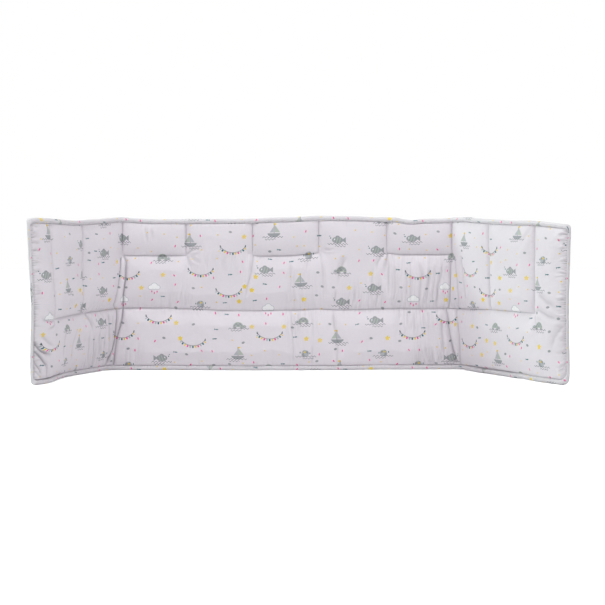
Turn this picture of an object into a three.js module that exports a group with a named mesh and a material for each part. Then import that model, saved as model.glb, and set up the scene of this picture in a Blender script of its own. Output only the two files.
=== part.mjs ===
// A crib bumper: one long quilted cotton pad with a fat rolled strip sewn round its edge.
// It stands on its lower edge in a U, a back panel with a wing at each end.
// Millimetres, +Z up. The origin is on the floor under the middle of the back panel.
// The wings come forward, towards -Y.
//
// Both pieces are worked out flat first. A point of the flat bumper is (s, v, h):
// s runs along it from the middle of the back panel, v runs up it from the floor edge,
// and h is how far the point stands in front of the middle of the filling.
import * as THREE from "three";

const LEFT_END = 1200; // from the middle of the back panel to each end, along the cloth
const RIGHT_END = 1232;
const HEIGHT = 553; // floor to the top of the strip, before the cloth's own drift
const STRIP_REACH = 17; // how far the strip stands out past the pad
const STRIP_HALF = 12.5; // half the strip's thickness where it is fattest
const NECK_HALF = 8.5; // half the thickness at the seam between pad and strip
const FLAT_HALF = 5; // half the width of the flat that the strip stands on
const SEWING_GAP = 0.3; // left between the two pieces
const CORNER_RADIUS = 11; // of the pad's own corners
const FRONT_CROWN = 14.5; // half thickness of a full pocket, towards the child
const BACK_CROWN = 11.5; // the same on the outside
const PINCH = 0.24; // share of the crown left at a sewn seam
const THINNEST = 3; // half thickness that no pinch goes below
const RISE = 46; // distance over which a pocket rises from its seam to its crown

const padEnd = (side) => (side < 0 ? LEFT_END : RIGHT_END) - STRIP_REACH - SEWING_GAP;
const PAD_FLOOR = STRIP_REACH + SEWING_GAP;
const PAD_TOP = HEIGHT - STRIP_REACH - SEWING_GAP;

// Where the sewn seams run on the flat bumper.
const MID_SEAM = 222;
const SHORT_SEAM = 420;
const CORNER = 600; // the back panel's half length
const UPRIGHTS = [
  // a full one reaches the mid seam, a short one stops at the short seam
  { s: -1080, foot: MID_SEAM },
  { s: -840, foot: MID_SEAM },
  { s: -CORNER, foot: SHORT_SEAM },
  { s: -367, foot: SHORT_SEAM },
  { s: -126, foot: SHORT_SEAM },
  { s: 114, foot: SHORT_SEAM },
  { s: 361, foot: SHORT_SEAM },
  { s: CORNER, foot: SHORT_SEAM },
  { s: 840, foot: MID_SEAM },
  { s: 1080, foot: MID_SEAM },
];
const SHORT_SEAMS = [
  { from: -CORNER, to: -367 },
  { from: -126, to: 114 },
  { from: 361, to: CORNER },
];

// How each wing turns away from the line of the back panel, in degrees: the turn at the
// bend, the turn half way along and the turn at the end strip, half way up the bumper.
// A twist is how much more that turn is at the top than at the floor. The bend itself
// sits further out at the floor than at the top.
const WINGS = {
  left: {
    bend: 62.2, bendTwist: -2.3, middle: 76.2, middleTwist: -8.9,
    end: 61.5, endTwist: 9, bendTop: 606, bendFloor: 657,
  },
  right: {
    bend: 62.1, bendTwist: 6.2, middle: 59.1, middleTwist: -7,
    end: 52.5, endTwist: -4, bendTop: 601, bendFloor: 636,
  },
};
const BEND_HALF = 35; // the bend is spread over this much cloth on each side
const BEND_SETTLES = 0.55; // share of the height above which the bend keeps its place
const MIDDLE_TURN = { from: 180, to: 300 }; // past the bend
const END_TURN = { from: 430, to: 500 };

// How the standing back panel sways, away from the child where y is more than 0.
const SWAY_LINE = [
  { s: -600, y: 0 }, { s: -420, y: -1 }, { s: -150, y: -9 }, { s: 60, y: -7 },
  { s: 260, y: 2 }, { s: 430, y: 5 }, { s: 600, y: 4 },
];

// The drift of the cloth from its flat height, along the bumper. z is the true height.
const TOP_LINE = [
  { s: -1200, z: 558 }, { s: -1163, z: 560 }, { s: -1080, z: 557 }, { s: -1016, z: 554 },
  { s: -934, z: 549 }, { s: -873, z: 548 }, { s: -819, z: 549 }, { s: -724, z: 552 },
  { s: -627, z: 557 }, { s: -593, z: 558 }, { s: -535, z: 553 }, { s: -490, z: 551 },
  { s: -332, z: 551 }, { s: -157, z: 552 }, { s: -41, z: 557 }, { s: 17, z: 558 },
  { s: 104, z: 563 }, { s: 250, z: 561 }, { s: 308, z: 558 }, { s: 366, z: 557 },
  { s: 395, z: 557 }, { s: 424, z: 550 }, { s: 454, z: 547 }, { s: 483, z: 551 },
  { s: 570, z: 553 }, { s: 600, z: 557 }, { s: 701, z: 558 }, { s: 756, z: 555 },
  { s: 858, z: 552 }, { s: 942, z: 549 }, { s: 1061, z: 549 }, { s: 1136, z: 544 },
  { s: 1216, z: 538 }, { s: 1232, z: 536 },
];
const SHORT_LINE = [
  { s: -600, z: 418 }, { s: -367, z: 418 }, { s: -126, z: 420 }, { s: -107, z: 416 },
  { s: 10, z: 418 }, { s: 83, z: 424 }, { s: 116, z: 428 }, { s: 240, z: 426 },
  { s: 366, z: 426 }, { s: 410, z: 422 }, { s: 600, z: 422 },
];
const MID_LINE = [
  { s: -1200, z: 219 }, { s: -1080, z: 219 }, { s: -837, z: 222 }, { s: -650, z: 226 },
  { s: -465, z: 228 }, { s: -319, z: 224 }, { s: -246, z: 219 }, { s: -125, z: 218 },
  { s: 46, z: 221 }, { s: 115, z: 224 }, { s: 185, z: 220 }, { s: 393, z: 226 },
  { s: 601, z: 226 }, { s: 834, z: 234 }, { s: 1232, z: 237 },
];
// The lower edge stands on the floor but for two shallow lifts.
const FLOOR_LINE = [
  { s: -1120, z: 0 }, { s: -1050, z: 2 }, { s: -980, z: 2 }, { s: -900, z: 0 },
  { s: 180, z: 0 }, { s: 330, z: 2 }, { s: 640, z: 3 }, { s: 740, z: 0 },
  { s: 950, z: 0 }, { s: 1000, z: 3 }, { s: 1060, z: 0 },
];

// Folds of the front panel alone, where the bends press it together. Each row is a point
// of the fold, from the top down. Grid columns follow the folds of the two corners.
const LEFT_OUTER_FOLD = [
  { v: 553, s: -606 }, { v: 417, s: -606 }, { v: 312, s: -629 }, { v: 237, s: -653 },
  { v: 219, s: -629 }, { v: 118, s: -631 }, { v: 74, s: -641 }, { v: 25, s: -670 },
  { v: 0, s: -674 },
];
const LEFT_INNER_FOLD = [
  { v: 553, s: -594 }, { v: 417, s: -593 }, { v: 395, s: -585 }, { v: 329, s: -589 },
  { v: 275, s: -599 }, { v: 222, s: -598 }, { v: 180, s: -602 }, { v: 117, s: -622 },
  { v: 55, s: -630 }, { v: 0, s: -637 },
];
const RIGHT_INNER_FOLD = [
  { v: 553, s: 594 }, { v: 420, s: 600 }, { v: 329, s: 599 }, { v: 256, s: 595 },
  { v: 228, s: 588 }, { v: 219, s: 580 }, { v: 179, s: 585 }, { v: 116, s: 594 },
  { v: 72, s: 605 }, { v: 32, s: 621 }, { v: 0, s: 624 },
];
const RIGHT_OUTER_FOLD = [
  { v: 553, s: 606 }, { v: 413, s: 624 }, { v: 366, s: 634 }, { v: 320, s: 648 },
  { v: 256, s: 652 }, { v: 228, s: 640 }, { v: 219, s: 627 }, { v: 170, s: 636 },
  { v: 118, s: 639 }, { v: 0, s: 639 },
];
const RIGHT_SOFT_FOLD = [
  { v: 553, s: 664 }, { v: 415, s: 675 }, { v: 332, s: 684 }, { v: 261, s: 701 },
  { v: 222, s: 690 }, { v: 0, s: 676 },
];
const LOW_FOLD = [
  { v: 553, s: 174 }, { v: 230, s: 174 }, { v: 216, s: 168 }, { v: 161, s: 169 },
  { v: 109, s: 181 }, { v: 0, s: 184 },
];
const FOLDS = [
  // where the fold shows, and the share of the crown it leaves
  { line: LEFT_OUTER_FOLD, top: 410, foot: 20, left: 0.5 },
  { line: LEFT_INNER_FOLD, top: 420, foot: 20, left: 0.5 },
  { line: RIGHT_INNER_FOLD, top: 420, foot: 30, left: 0.45 },
  { line: RIGHT_OUTER_FOLD, top: 410, foot: 20, left: 0.6 },
  { line: RIGHT_SOFT_FOLD, top: 415, foot: 261, left: 0.7 },
  { line: LOW_FOLD, top: 216, foot: 20, left: 0.75 },
];
const FOLD_RISE = 20;

// The strip is drawn in a little where seams and folds run on across it.
const STRIP_DRAWN_TOP = [-840, -CORNER, 114, 361, CORNER, 1080];
const STRIP_DRAWN_FLOOR = [-674, -637, 184, 639];
const STRIP_DRAW = 0.14; // share of its thickness
const STRIP_DRAW_REACH = 9;

const clamp = THREE.MathUtils.clamp;
const lerp = THREE.MathUtils.lerp;
const smooth = (x, from, to) => THREE.MathUtils.smoothstep(x, from, to);

// The value of column `out` where column `by` is x, on straight lines between the rows.
function along(rows, by, out, x) {
  const up = rows[0][by] < rows[rows.length - 1][by] ? rows : rows.toReversed();
  if (x <= up[0][by]) return up[0][out];
  const k = up.findIndex((row) => row[by] >= x);
  if (k < 0) return up[up.length - 1][out];
  const share = (x - up[k - 1][by]) / (up[k][by] - up[k - 1][by]);
  return lerp(up[k - 1][out], up[k][out], share);
}

// The true height of the point that lies at v on the flat bumper.
function heightAt(s, v) {
  const levels = [
    { v: 0, z: along(FLOOR_LINE, "s", "z", s) },
    { v: MID_SEAM, z: along(MID_LINE, "s", "z", s) },
    { v: SHORT_SEAM, z: along(SHORT_LINE, "s", "z", s) },
    { v: HEIGHT, z: along(TOP_LINE, "s", "z", s) },
  ];
  return along(levels, "v", "z", v);
}

// How far the bumper has turned at distance d from its middle, in radians.
function turnAt(wing, d, rise) {
  const past = d - lerp(wing.bendFloor, wing.bendTop, smooth(rise, 0, BEND_SETTLES));
  const lean = rise - 0.5;
  const bend = wing.bend + wing.bendTwist * lean;
  const middle = wing.middle + wing.middleTwist * lean;
  const end = wing.end + wing.endTwist * lean;
  const degrees =
    bend * smooth(past, -BEND_HALF, BEND_HALF) +
    (middle - bend) * smooth(past, MIDDLE_TURN.from, MIDDLE_TURN.to) +
    (end - middle) * smooth(past, END_TURN.from, END_TURN.to);
  return THREE.MathUtils.degToRad(degrees);
}

// The sway at s, eased from one row of its table to the next, and its slope.
function swayAt(s) {
  const found = SWAY_LINE.findIndex((row) => row.s >= s);
  const k = found < 0 ? SWAY_LINE.length - 1 : Math.max(1, found);
  const [a, b] = [SWAY_LINE[k - 1], SWAY_LINE[k]];
  return lerp(a.y, b.y, smooth(s, a.s, b.s));
}

const PLAN_STEP = 6;
const SLOPE_STEP = 1;

// The middle of the filling at s, seen from above, and the way its front faces.
function planAt(s, z) {
  const side = Math.sign(s) || 1;
  const wing = side < 0 ? WINGS.left : WINGS.right;
  const rise = clamp(z / HEIGHT, 0, 1);
  const d = Math.abs(s);
  const start = Math.min(d, wing.bendTop - 2 * BEND_HALF);
  const steps = Math.max(1, Math.ceil((d - start) / PLAN_STEP));
  const step = (d - start) / steps;
  let x = start;
  let y = 0;
  for (let i = 0; i < steps; i++) {
    const turn = turnAt(wing, start + (i + 0.5) * step, rise);
    x += Math.cos(turn) * step;
    y -= Math.sin(turn) * step;
  }
  const onBack = clamp(s, -CORNER, CORNER);
  y += swayAt(onBack) - swayAt(0);
  const slope = (swayAt(onBack + SLOPE_STEP) - swayAt(onBack - SLOPE_STEP)) / 2 / SLOPE_STEP;
  const turn = turnAt(wing, d, rise) - side * Math.atan(slope);
  return { x: side * x, y, nx: -side * Math.sin(turn), ny: -Math.cos(turn) };
}

// The flat point (s, v, h) where the bumper stands.
function standing(s, v, h) {
  const z = heightAt(s, v);
  const plan = planAt(s, z);
  return [plan.x + plan.nx * h, plan.y + plan.ny * h, z];
}

// How full a pocket is at distance d from a seam that leaves the given share of it.
function fullness(d, left, rise) {
  const near = 1 - clamp(d / rise, 0, 1);
  return left + (1 - left) * Math.sqrt(1 - near * near);
}

function distanceToLine(s, v, ends) {
  const [s0, v0, s1, v1] = ends;
  const run = (s1 - s0) ** 2 + (v1 - v0) ** 2;
  const t = clamp(((s - s0) * (s1 - s0) + (v - v0) * (v1 - v0)) / run, 0, 1);
  return Math.hypot(s - lerp(s0, s1, t), v - lerp(v0, v1, t));
}

const SEAM_ENDS = [
  ...UPRIGHTS.map((seam) => [seam.s, seam.foot, seam.s, PAD_TOP]),
  ...SHORT_SEAMS.map((seam) => [seam.from, SHORT_SEAM, seam.to, SHORT_SEAM]),
  [UPRIGHTS[0].s, MID_SEAM, UPRIGHTS[UPRIGHTS.length - 1].s, MID_SEAM],
];

// Half the pad's thickness at (s, v), in front of or behind the middle of the filling.
function padHalf(s, v, isFront) {
  const crown = isFront ? FRONT_CROWN : BACK_CROWN;
  const toEdge = Math.min(padEnd(s) - Math.abs(s), v - PAD_FLOOR, PAD_TOP - v);
  let share = fullness(toEdge, NECK_HALF / crown, RISE);
  for (const ends of SEAM_ENDS) {
    share *= fullness(distanceToLine(s, v, ends), PINCH, RISE);
  }
  for (const fold of isFront ? FOLDS : []) {
    const beyond = Math.max(0, v - fold.top, fold.foot - v);
    const off = Math.hypot(s - along(fold.line, "v", "s", v), beyond);
    share *= fullness(off, fold.left, FOLD_RISE);
  }
  return Math.min(Math.max(crown * share, THINNEST), toEdge <= 0 ? NECK_HALF : crown);
}

// Columns of the grid. A number is a straight column. A fold is a column that follows it,
// and a shift stands beside one.
const straight = (s) => ({ line: [{ v: 0, s }], shift: 0 });
const beside = (line, shift) => ({ line, shift });
const besideSeam = (s) => [-60, -26, -8, 0, 8, 26, 60].map((off) => straight(s + off));
const cornerDrop = [1, Math.SQRT1_2, 0]; // how far round the corner each end column is
const endColumns = (side) =>
  cornerDrop.map((turn) => straight(side * (padEnd(side) - CORNER_RADIUS * (1 - turn))));

const COLUMNS = [
  ...endColumns(-1),
  ...besideSeam(-1080),
  straight(-960),
  ...besideSeam(-840),
  straight(-740),
  straight(-706),
  beside(LEFT_OUTER_FOLD, -22),
  beside(LEFT_OUTER_FOLD, 0),
  { between: [LEFT_OUTER_FOLD, LEFT_INNER_FOLD] },
  beside(LEFT_INNER_FOLD, 0),
  beside(LEFT_INNER_FOLD, 20),
  straight(-548),
  straight(-483),
  ...besideSeam(-367),
  straight(-246),
  ...besideSeam(-126),
  straight(-6),
  ...besideSeam(114).slice(0, -1),
  beside(LOW_FOLD, 0),
  straight(206),
  straight(250),
  ...besideSeam(361),
  straight(452),
  straight(484),
  straight(530),
  beside(RIGHT_INNER_FOLD, -18),
  beside(RIGHT_INNER_FOLD, 0),
  { between: [RIGHT_INNER_FOLD, RIGHT_OUTER_FOLD] },
  beside(RIGHT_OUTER_FOLD, 0),
  beside(RIGHT_SOFT_FOLD, -16),
  beside(RIGHT_SOFT_FOLD, 0),
  straight(728),
  ...besideSeam(840),
  straight(960),
  ...besideSeam(1080),
  ...endColumns(1).toReversed(),
];

function columnAt(column, v) {
  if (column.between) {
    const [a, b] = column.between.map((line) => along(line, "v", "s", v));
    return (a + b) / 2;
  }
  return along(column.line, "v", "s", v) + column.shift;
}

// Rows of the grid, close together beside the seams that run along the bumper.
const ROWS = [
  PAD_FLOOR, 23, 40, 78, 124, 168, 196, 214, MID_SEAM, 230, 248, 278, 320,
  362, 394, 412, SHORT_SEAM, 428, 446, 478, 510, 529, PAD_TOP,
];

// Near its ends the pad is lower, by its rounded corners.
function rowAt(s, v) {
  const into = clamp(Math.abs(s) - (padEnd(s) - CORNER_RADIUS), 0, CORNER_RADIUS);
  const drop = CORNER_RADIUS - Math.sqrt(CORNER_RADIUS ** 2 - into ** 2);
  const middle = (PAD_FLOOR + PAD_TOP) / 2;
  const half = (PAD_TOP - PAD_FLOOR) / 2;
  return middle + (v - middle) * (1 - drop / half);
}

function gridPoint(column, v) {
  const s = columnAt(column, v);
  return { s, v: rowAt(s, v) };
}

function meshOf(name, points, faces, material) {
  const geometry = new THREE.BufferGeometry();
  geometry.setAttribute("position", new THREE.Float32BufferAttribute(points.flat(), 3));
  geometry.setIndex(faces.flat());
  geometry.computeVertexNormals();
  const mesh = new THREE.Mesh(geometry, material);
  mesh.name = name;
  return mesh;
}

// The filled pad: a front grid, a back grid and the narrow wall that joins their edges.
function buildPad(material) {
  const points = [];
  const faces = [];
  const index = { front: [], back: [] };
  for (const face of ["front", "back"]) {
    const way = face === "front" ? 1 : -1;
    for (const column of COLUMNS) {
      index[face].push(
        ROWS.map((row) => {
          const at = gridPoint(column, row);
          points.push(standing(at.s, at.v, way * padHalf(at.s, at.v, way > 0)));
          return points.length - 1;
        }),
      );
    }
  }
  const quad = (a, b, c, d) => faces.push([a, b, c], [a, c, d]);
  const lastColumn = COLUMNS.length - 1;
  const lastRow = ROWS.length - 1;
  const { front, back } = index;
  for (let i = 0; i < lastColumn; i++) {
    for (let j = 0; j < lastRow; j++) {
      quad(front[i][j], front[i + 1][j], front[i + 1][j + 1], front[i][j + 1]);
      quad(back[i][j], back[i][j + 1], back[i + 1][j + 1], back[i + 1][j]);
    }
    quad(back[i][0], back[i + 1][0], front[i + 1][0], front[i][0]);
    quad(front[i][lastRow], front[i + 1][lastRow], back[i + 1][lastRow], back[i][lastRow]);
  }
  for (let j = 0; j < lastRow; j++) {
    quad(front[0][j], front[0][j + 1], back[0][j + 1], back[0][j]);
    const [f, b] = [front[lastColumn], back[lastColumn]];
    quad(b[j], b[j + 1], f[j + 1], f[j]);
  }
  return meshOf("pad", points, faces, material);
}

// The strip's section: how far out from the pad, and how far in front of the middle.
const SECTION = [
  { out: 0, half: NECK_HALF },
  { out: 6, half: STRIP_HALF },
  { out: 13, half: STRIP_HALF - 2 },
  { out: STRIP_REACH, half: FLAT_HALF },
];

// The pad's outline as seen from the front, with the way that points straight out of it.
function outline() {
  const stations = [];
  const add = (column, row, outS, outV) => {
    const at = gridPoint(column, row);
    stations.push({ ...at, outS, outV });
  };
  const ends = cornerDrop.length;
  const last = COLUMNS.length - 1;
  const edges = [
    { row: PAD_FLOOR, way: 1, outV: -1 },
    { row: PAD_TOP, way: -1, outV: 1 },
  ];
  for (const { row, way, outV } of edges) {
    for (let k = 0; k <= last; k++) {
      const i = way > 0 ? k : last - k;
      const fromEnd = Math.min(i, last - i);
      const turn = fromEnd < ends ? cornerDrop[fromEnd] : 0;
      const side = i < last / 2 ? -1 : 1;
      add(COLUMNS[i], row, side * turn, outV * Math.sqrt(1 - turn * turn));
    }
    const inner = ROWS.slice(1, -1);
    for (const v of way > 0 ? inner : inner.toReversed()) {
      add(COLUMNS[way > 0 ? last : 0], v, way, 0);
    }
  }
  return stations;
}

function stripDraw(station) {
  if (station.outV === 0) return 1;
  const seams = station.outV > 0 ? STRIP_DRAWN_TOP : STRIP_DRAWN_FLOOR;
  const nearest = Math.min(...seams.map((s) => Math.abs(station.s - s)));
  return 1 - STRIP_DRAW * (1 - smooth(nearest, 0, STRIP_DRAW_REACH));
}

// The strip: its section swept round the outline as one closed ring.
function buildStrip(material) {
  const rim = [...SECTION, ...SECTION.toReversed().map((p) => ({ ...p, half: -p.half }))];
  const points = [];
  const faces = [];
  const stations = outline();
  for (const at of stations) {
    const draw = stripDraw(at);
    for (const { out, half } of rim) {
      const reach = SEWING_GAP + out;
      const thick = Math.abs(half) > FLAT_HALF ? half * draw : half;
      points.push(standing(at.s + at.outS * reach, at.v + at.outV * reach, thick));
    }
  }
  const around = rim.length;
  stations.forEach((_, i) => {
    const next = (i + 1) % stations.length;
    for (let k = 0; k < around; k++) {
      const after = (k + 1) % around;
      const a = i * around + k;
      const b = next * around + k;
      const c = next * around + after;
      const d = i * around + after;
      faces.push([a, d, c], [a, c, b]);
    }
  });
  return meshOf("boxing", points, faces, material);
}

const cotton = (colour) =>
  new THREE.MeshStandardMaterial({ color: colour, roughness: 0.92, metalness: 0 });

const bumper = new THREE.Group();
bumper.add(buildPad(cotton("#d9d4dc")), buildStrip(cotton("#dcd8df")));

export default bumper;
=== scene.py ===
# %% [markdown]
# # A crib bumper in printed cotton
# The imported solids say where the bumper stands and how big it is. This lesson puts the
# cloth over them. The real thing is two long cotton panels quilted over wadding, with a
# fat rolled strip sewn round the edge. A sewer makes it flat on a table and stands it up
# last, and this script does the same, because a flat panel is easy to measure, to swell
# with simulated cloth and to lay a print on.

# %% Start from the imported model
import math
from collections import namedtuple
from types import SimpleNamespace

import bpy
import numpy as np
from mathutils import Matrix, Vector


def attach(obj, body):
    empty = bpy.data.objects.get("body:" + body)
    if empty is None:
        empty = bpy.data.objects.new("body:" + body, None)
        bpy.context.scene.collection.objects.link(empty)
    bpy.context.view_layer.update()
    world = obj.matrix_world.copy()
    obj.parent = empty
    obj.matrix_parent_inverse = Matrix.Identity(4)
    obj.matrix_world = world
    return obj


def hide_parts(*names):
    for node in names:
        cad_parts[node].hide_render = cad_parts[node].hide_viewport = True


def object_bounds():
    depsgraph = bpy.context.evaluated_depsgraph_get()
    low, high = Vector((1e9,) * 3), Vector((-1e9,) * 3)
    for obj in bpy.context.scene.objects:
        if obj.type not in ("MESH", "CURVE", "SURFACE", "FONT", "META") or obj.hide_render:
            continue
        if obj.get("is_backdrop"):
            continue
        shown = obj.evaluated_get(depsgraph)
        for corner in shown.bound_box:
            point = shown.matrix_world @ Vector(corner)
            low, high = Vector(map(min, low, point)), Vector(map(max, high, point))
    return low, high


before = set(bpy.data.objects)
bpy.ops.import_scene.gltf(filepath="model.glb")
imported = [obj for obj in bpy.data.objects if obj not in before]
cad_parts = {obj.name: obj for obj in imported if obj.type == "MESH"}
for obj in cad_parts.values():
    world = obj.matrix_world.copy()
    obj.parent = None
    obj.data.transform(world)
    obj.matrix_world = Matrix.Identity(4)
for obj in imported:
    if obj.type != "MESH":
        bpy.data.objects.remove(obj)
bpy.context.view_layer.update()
scene = bpy.context.scene

# %% [markdown]
# ## The pattern
# A point of the flat bumper is (s, v, h). s runs along it from the middle of the back
# panel, v runs up from the floor edge and h stands in front of the middle of the filling.
# These are the pattern's sizes in millimetres, as a cutter writes them, and the solids
# were made from the same ones. Two things differ: the pockets are up to 3 mm fuller and
# rounder in front, and the corner at the foot of the right end is rounder. Meshes are made
# in metres, so each point is multiplied by MM at the end.

# %% Sizes of the flat pattern
MM = 0.001
LEFT_END = 1200.0  # from the middle of the back panel to each end
RIGHT_END = 1232.0
HEIGHT = 553.0
STRIP_REACH = 17.0  # how far the edge strip stands out past the pad
SEWING_GAP = 0.3
CORNER_RADIUS = 11.0
ROUND_CORNER = 26.0  # the radius of the corner at the foot of the right end
PAD_LEFT = SEWING_GAP + STRIP_REACH - LEFT_END
PAD_RIGHT = RIGHT_END - STRIP_REACH - SEWING_GAP
PAD_FLOOR = STRIP_REACH + SEWING_GAP
PAD_TOP = HEIGHT - STRIP_REACH - SEWING_GAP
PAD_MIDDLE = (PAD_FLOOR + PAD_TOP) / 2
FRONT_CROWN = 17.5  # half thickness of a full pocket
BACK_CROWN = 11.5
NECK_HALF = 8.5  # half thickness where pad and strip meet
THINNEST = 3.0  # half thickness that no seam or fold presses below
LEAST_HALF = 1.0  # and that no narrow crease cuts below
PINCH = 0.24  # share of the crown left at a sewn seam
RISE = 60.0  # how far from a seam its pocket is full
END_NECK = 0.62  # the two short ends are pressed flatter, to this share of their thickness
END_RISE = 24.0  # how far from an end that pressing reaches

MID_SEAM = 222.0
SHORT_SEAM = 420.0
CORNER = 600.0
SEAMS = {
    # each upright's place and its foot: a seam row that it reaches down to
    "uprights": [
        (-1080, MID_SEAM), (-840, MID_SEAM), (-CORNER, SHORT_SEAM), (-367, SHORT_SEAM),
        (-126, SHORT_SEAM), (114, SHORT_SEAM), (361, SHORT_SEAM), (CORNER, SHORT_SEAM),
        (840, MID_SEAM), (1080, MID_SEAM),
    ],
    # each short seam's two ends
    "shorts": [(-CORNER, -367), (-126, 114), (361, CORNER)],
}
SEAM_ENDS = (
    [(s, foot, s, PAD_TOP) for s, foot in SEAMS["uprights"]]
    + [(start, SHORT_SEAM, end, SHORT_SEAM) for start, end in SEAMS["shorts"]]
    + [(-1080, MID_SEAM, 1080, MID_SEAM)]
)
print("seams:", len(SEAM_ENDS), "pad", PAD_LEFT, "to", PAD_RIGHT, "mm along")

# %% [markdown]
# ## Standing it up
# On the real bumper the wadding is stiff enough to stand on edge, so the flat panel only
# bends: once round each corner, a little along each wing, and in a slow sway along the
# back. A bend keeps lengths as they are, so it is worked out as a turn along the cloth and
# added up step by step. The sums are done once, for a table of heights and distances, and
# every point is looked up in it. A lattice or a curve modifier could bend the mesh too,
# but neither would follow the solids exactly.

# %% Turns, sway and height of the standing cloth
WINGS = {
    -1: SimpleNamespace(
        bend=62.2, bend_twist=-2.3, middle=76.2, middle_twist=-8.9,
        end=61.5, end_twist=9, bend_top=606, bend_floor=657,
    ),
    1: SimpleNamespace(
        bend=62.1, bend_twist=6.2, middle=59.1, middle_twist=-7,
        end=52.5, end_twist=-4, bend_top=601, bend_floor=636,
    ),
}
BEND_HALF = 35.0  # a corner is bent over this distance to each side of its middle
BEND_SETTLES = 0.55  # share of the height at which the bend has reached its place at the top
MIDDLE_TURN = (180.0, 300.0)  # from and to past the bend, where a wing takes its middle turn
END_TURN = (430.0, 500.0)  # and where it takes the turn of its end

# (s, y) of the sway, and (s, height) of the lines that lie level on the flat bumper
SWAY_LINE = np.array([
    (-600, 0), (-420, -1), (-150, -9), (60, -7), (260, 2), (430, 5), (600, 4),
], float)
TOP_LINE = np.array([
    (-1200, 558), (-1163, 560), (-1080, 557), (-1016, 554), (-934, 549), (-873, 548),
    (-819, 549), (-724, 552), (-627, 557), (-593, 558), (-535, 553), (-490, 551),
    (-332, 551), (-157, 552), (-41, 557), (17, 558), (104, 563), (250, 561), (308, 558),
    (366, 557), (395, 557), (424, 550), (454, 547), (483, 551), (570, 553), (600, 557),
    (701, 558), (756, 555), (858, 552), (942, 549), (1061, 549), (1136, 544),
    (1216, 538), (1232, 536),
], float)
SHORT_LINE = np.array([
    (-600, 418), (-367, 418), (-126, 420), (-107, 416), (10, 418), (83, 424), (116, 428),
    (240, 426), (366, 426), (410, 422), (600, 422),
], float)
MID_LINE = np.array([
    (-1200, 219), (-1080, 219), (-837, 222), (-650, 226), (-465, 228), (-319, 224),
    (-246, 219), (-125, 218), (46, 221), (115, 224), (185, 220), (393, 226), (601, 226),
    (834, 234), (1232, 237),
], float)
FLOOR_LINE = np.array([
    (-1120, 0), (-1050, 2), (-980, 2), (-900, 0), (180, 0), (330, 2), (640, 3), (740, 0),
    (950, 0), (1000, 3), (1060, 0),
], float)


def smooth(x, low, high):
    t = np.clip((x - low) / (high - low), 0, 1)
    return t * t * (3 - 2 * t)


def height_at(s, v):
    """The true height of a flat point: it drifts with the seam lines above and below."""
    lines = [(0, FLOOR_LINE), (MID_SEAM, MID_LINE), (SHORT_SEAM, SHORT_LINE), (HEIGHT, TOP_LINE)]
    soften = (-12, -6, 0, 6, 12)  # each line's corners are eased over two centimetres
    z = np.zeros(np.broadcast(s, v).shape)
    for (v0, below), (v1, above) in zip(lines[:-1], lines[1:]):
        low = np.mean([np.interp(s + off, *below.T) for off in soften], axis=0)
        high = np.mean([np.interp(s + off, *above.T) for off in soften], axis=0)
        inside = (v >= v0) & (v < v1) | (v1 == HEIGHT) & (v >= v1) | (v0 == 0) & (v < v0)
        z = np.where(inside, low + (high - low) * (v - v0) / (v1 - v0), z)
    return z


def turn_at(wing, d, rise):
    """How far the bumper has turned at distance d from its middle, in radians."""
    foot = wing.bend_floor + (wing.bend_top - wing.bend_floor) * smooth(rise, 0, BEND_SETTLES)
    past = d - foot
    lean = rise - 0.5
    bend = wing.bend + wing.bend_twist * lean
    middle = wing.middle + wing.middle_twist * lean
    end = wing.end + wing.end_twist * lean
    degrees = (
        bend * smooth(past, -BEND_HALF, BEND_HALF)
        + (middle - bend) * smooth(past, *MIDDLE_TURN)
        + (end - middle) * smooth(past, *END_TURN)
    )
    return np.radians(degrees)


def sway_at(s):
    k = np.clip(np.searchsorted(SWAY_LINE[:, 0], s), 1, len(SWAY_LINE) - 1)
    s0, y0 = np.moveaxis(SWAY_LINE[k - 1], -1, 0)
    s1, y1 = np.moveaxis(SWAY_LINE[k], -1, 0)
    return y0 + (y1 - y0) * smooth(s, s0, s1)


# %% The table of bends, and the function that stands a flat point up
PLAN_STEP = 2.0  # millimetres along the cloth
PLAN_ROWS = 57  # heights in the table, about a centimetre apart
PLAN_BEYOND = 20.0  # the table goes on a little past the longer wing
PLAN_RISES = np.linspace(0, 1, PLAN_ROWS)[:, None]
PLAN_DISTANCES = np.arange(0, RIGHT_END + PLAN_BEYOND, PLAN_STEP)[None, :]


def plan_of(wing):
    """x, y and turn of the middle of the filling, by rise and distance."""
    halfway = turn_at(wing, PLAN_DISTANCES[:, :-1] + PLAN_STEP / 2, PLAN_RISES)
    still = np.zeros((len(PLAN_RISES), 1))
    x = np.hstack([still, np.cumsum(np.cos(halfway) * PLAN_STEP, axis=1)])
    y = np.hstack([still, -np.cumsum(np.sin(halfway) * PLAN_STEP, axis=1)])
    return np.stack([x, y, turn_at(wing, PLAN_DISTANCES, PLAN_RISES)])


PLANS = {side: plan_of(wing) for side, wing in WINGS.items()}


def looked_up(plan, rise, d):
    """The plan's values at any rise and distance, between its rows and columns."""
    row = np.clip(rise, 0, 1) * (len(PLAN_RISES) - 1)
    column = d / PLAN_STEP
    i = np.clip(row.astype(int), 0, len(PLAN_RISES) - 2)
    j = np.clip(column.astype(int), 0, PLAN_DISTANCES.size - 2)
    a = row - i
    b = column - j
    low = plan[:, i, j] * (1 - b) + plan[:, i, j + 1] * b
    high = plan[:, i + 1, j] * (1 - b) + plan[:, i + 1, j + 1] * b
    return low * (1 - a) + high * a


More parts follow.
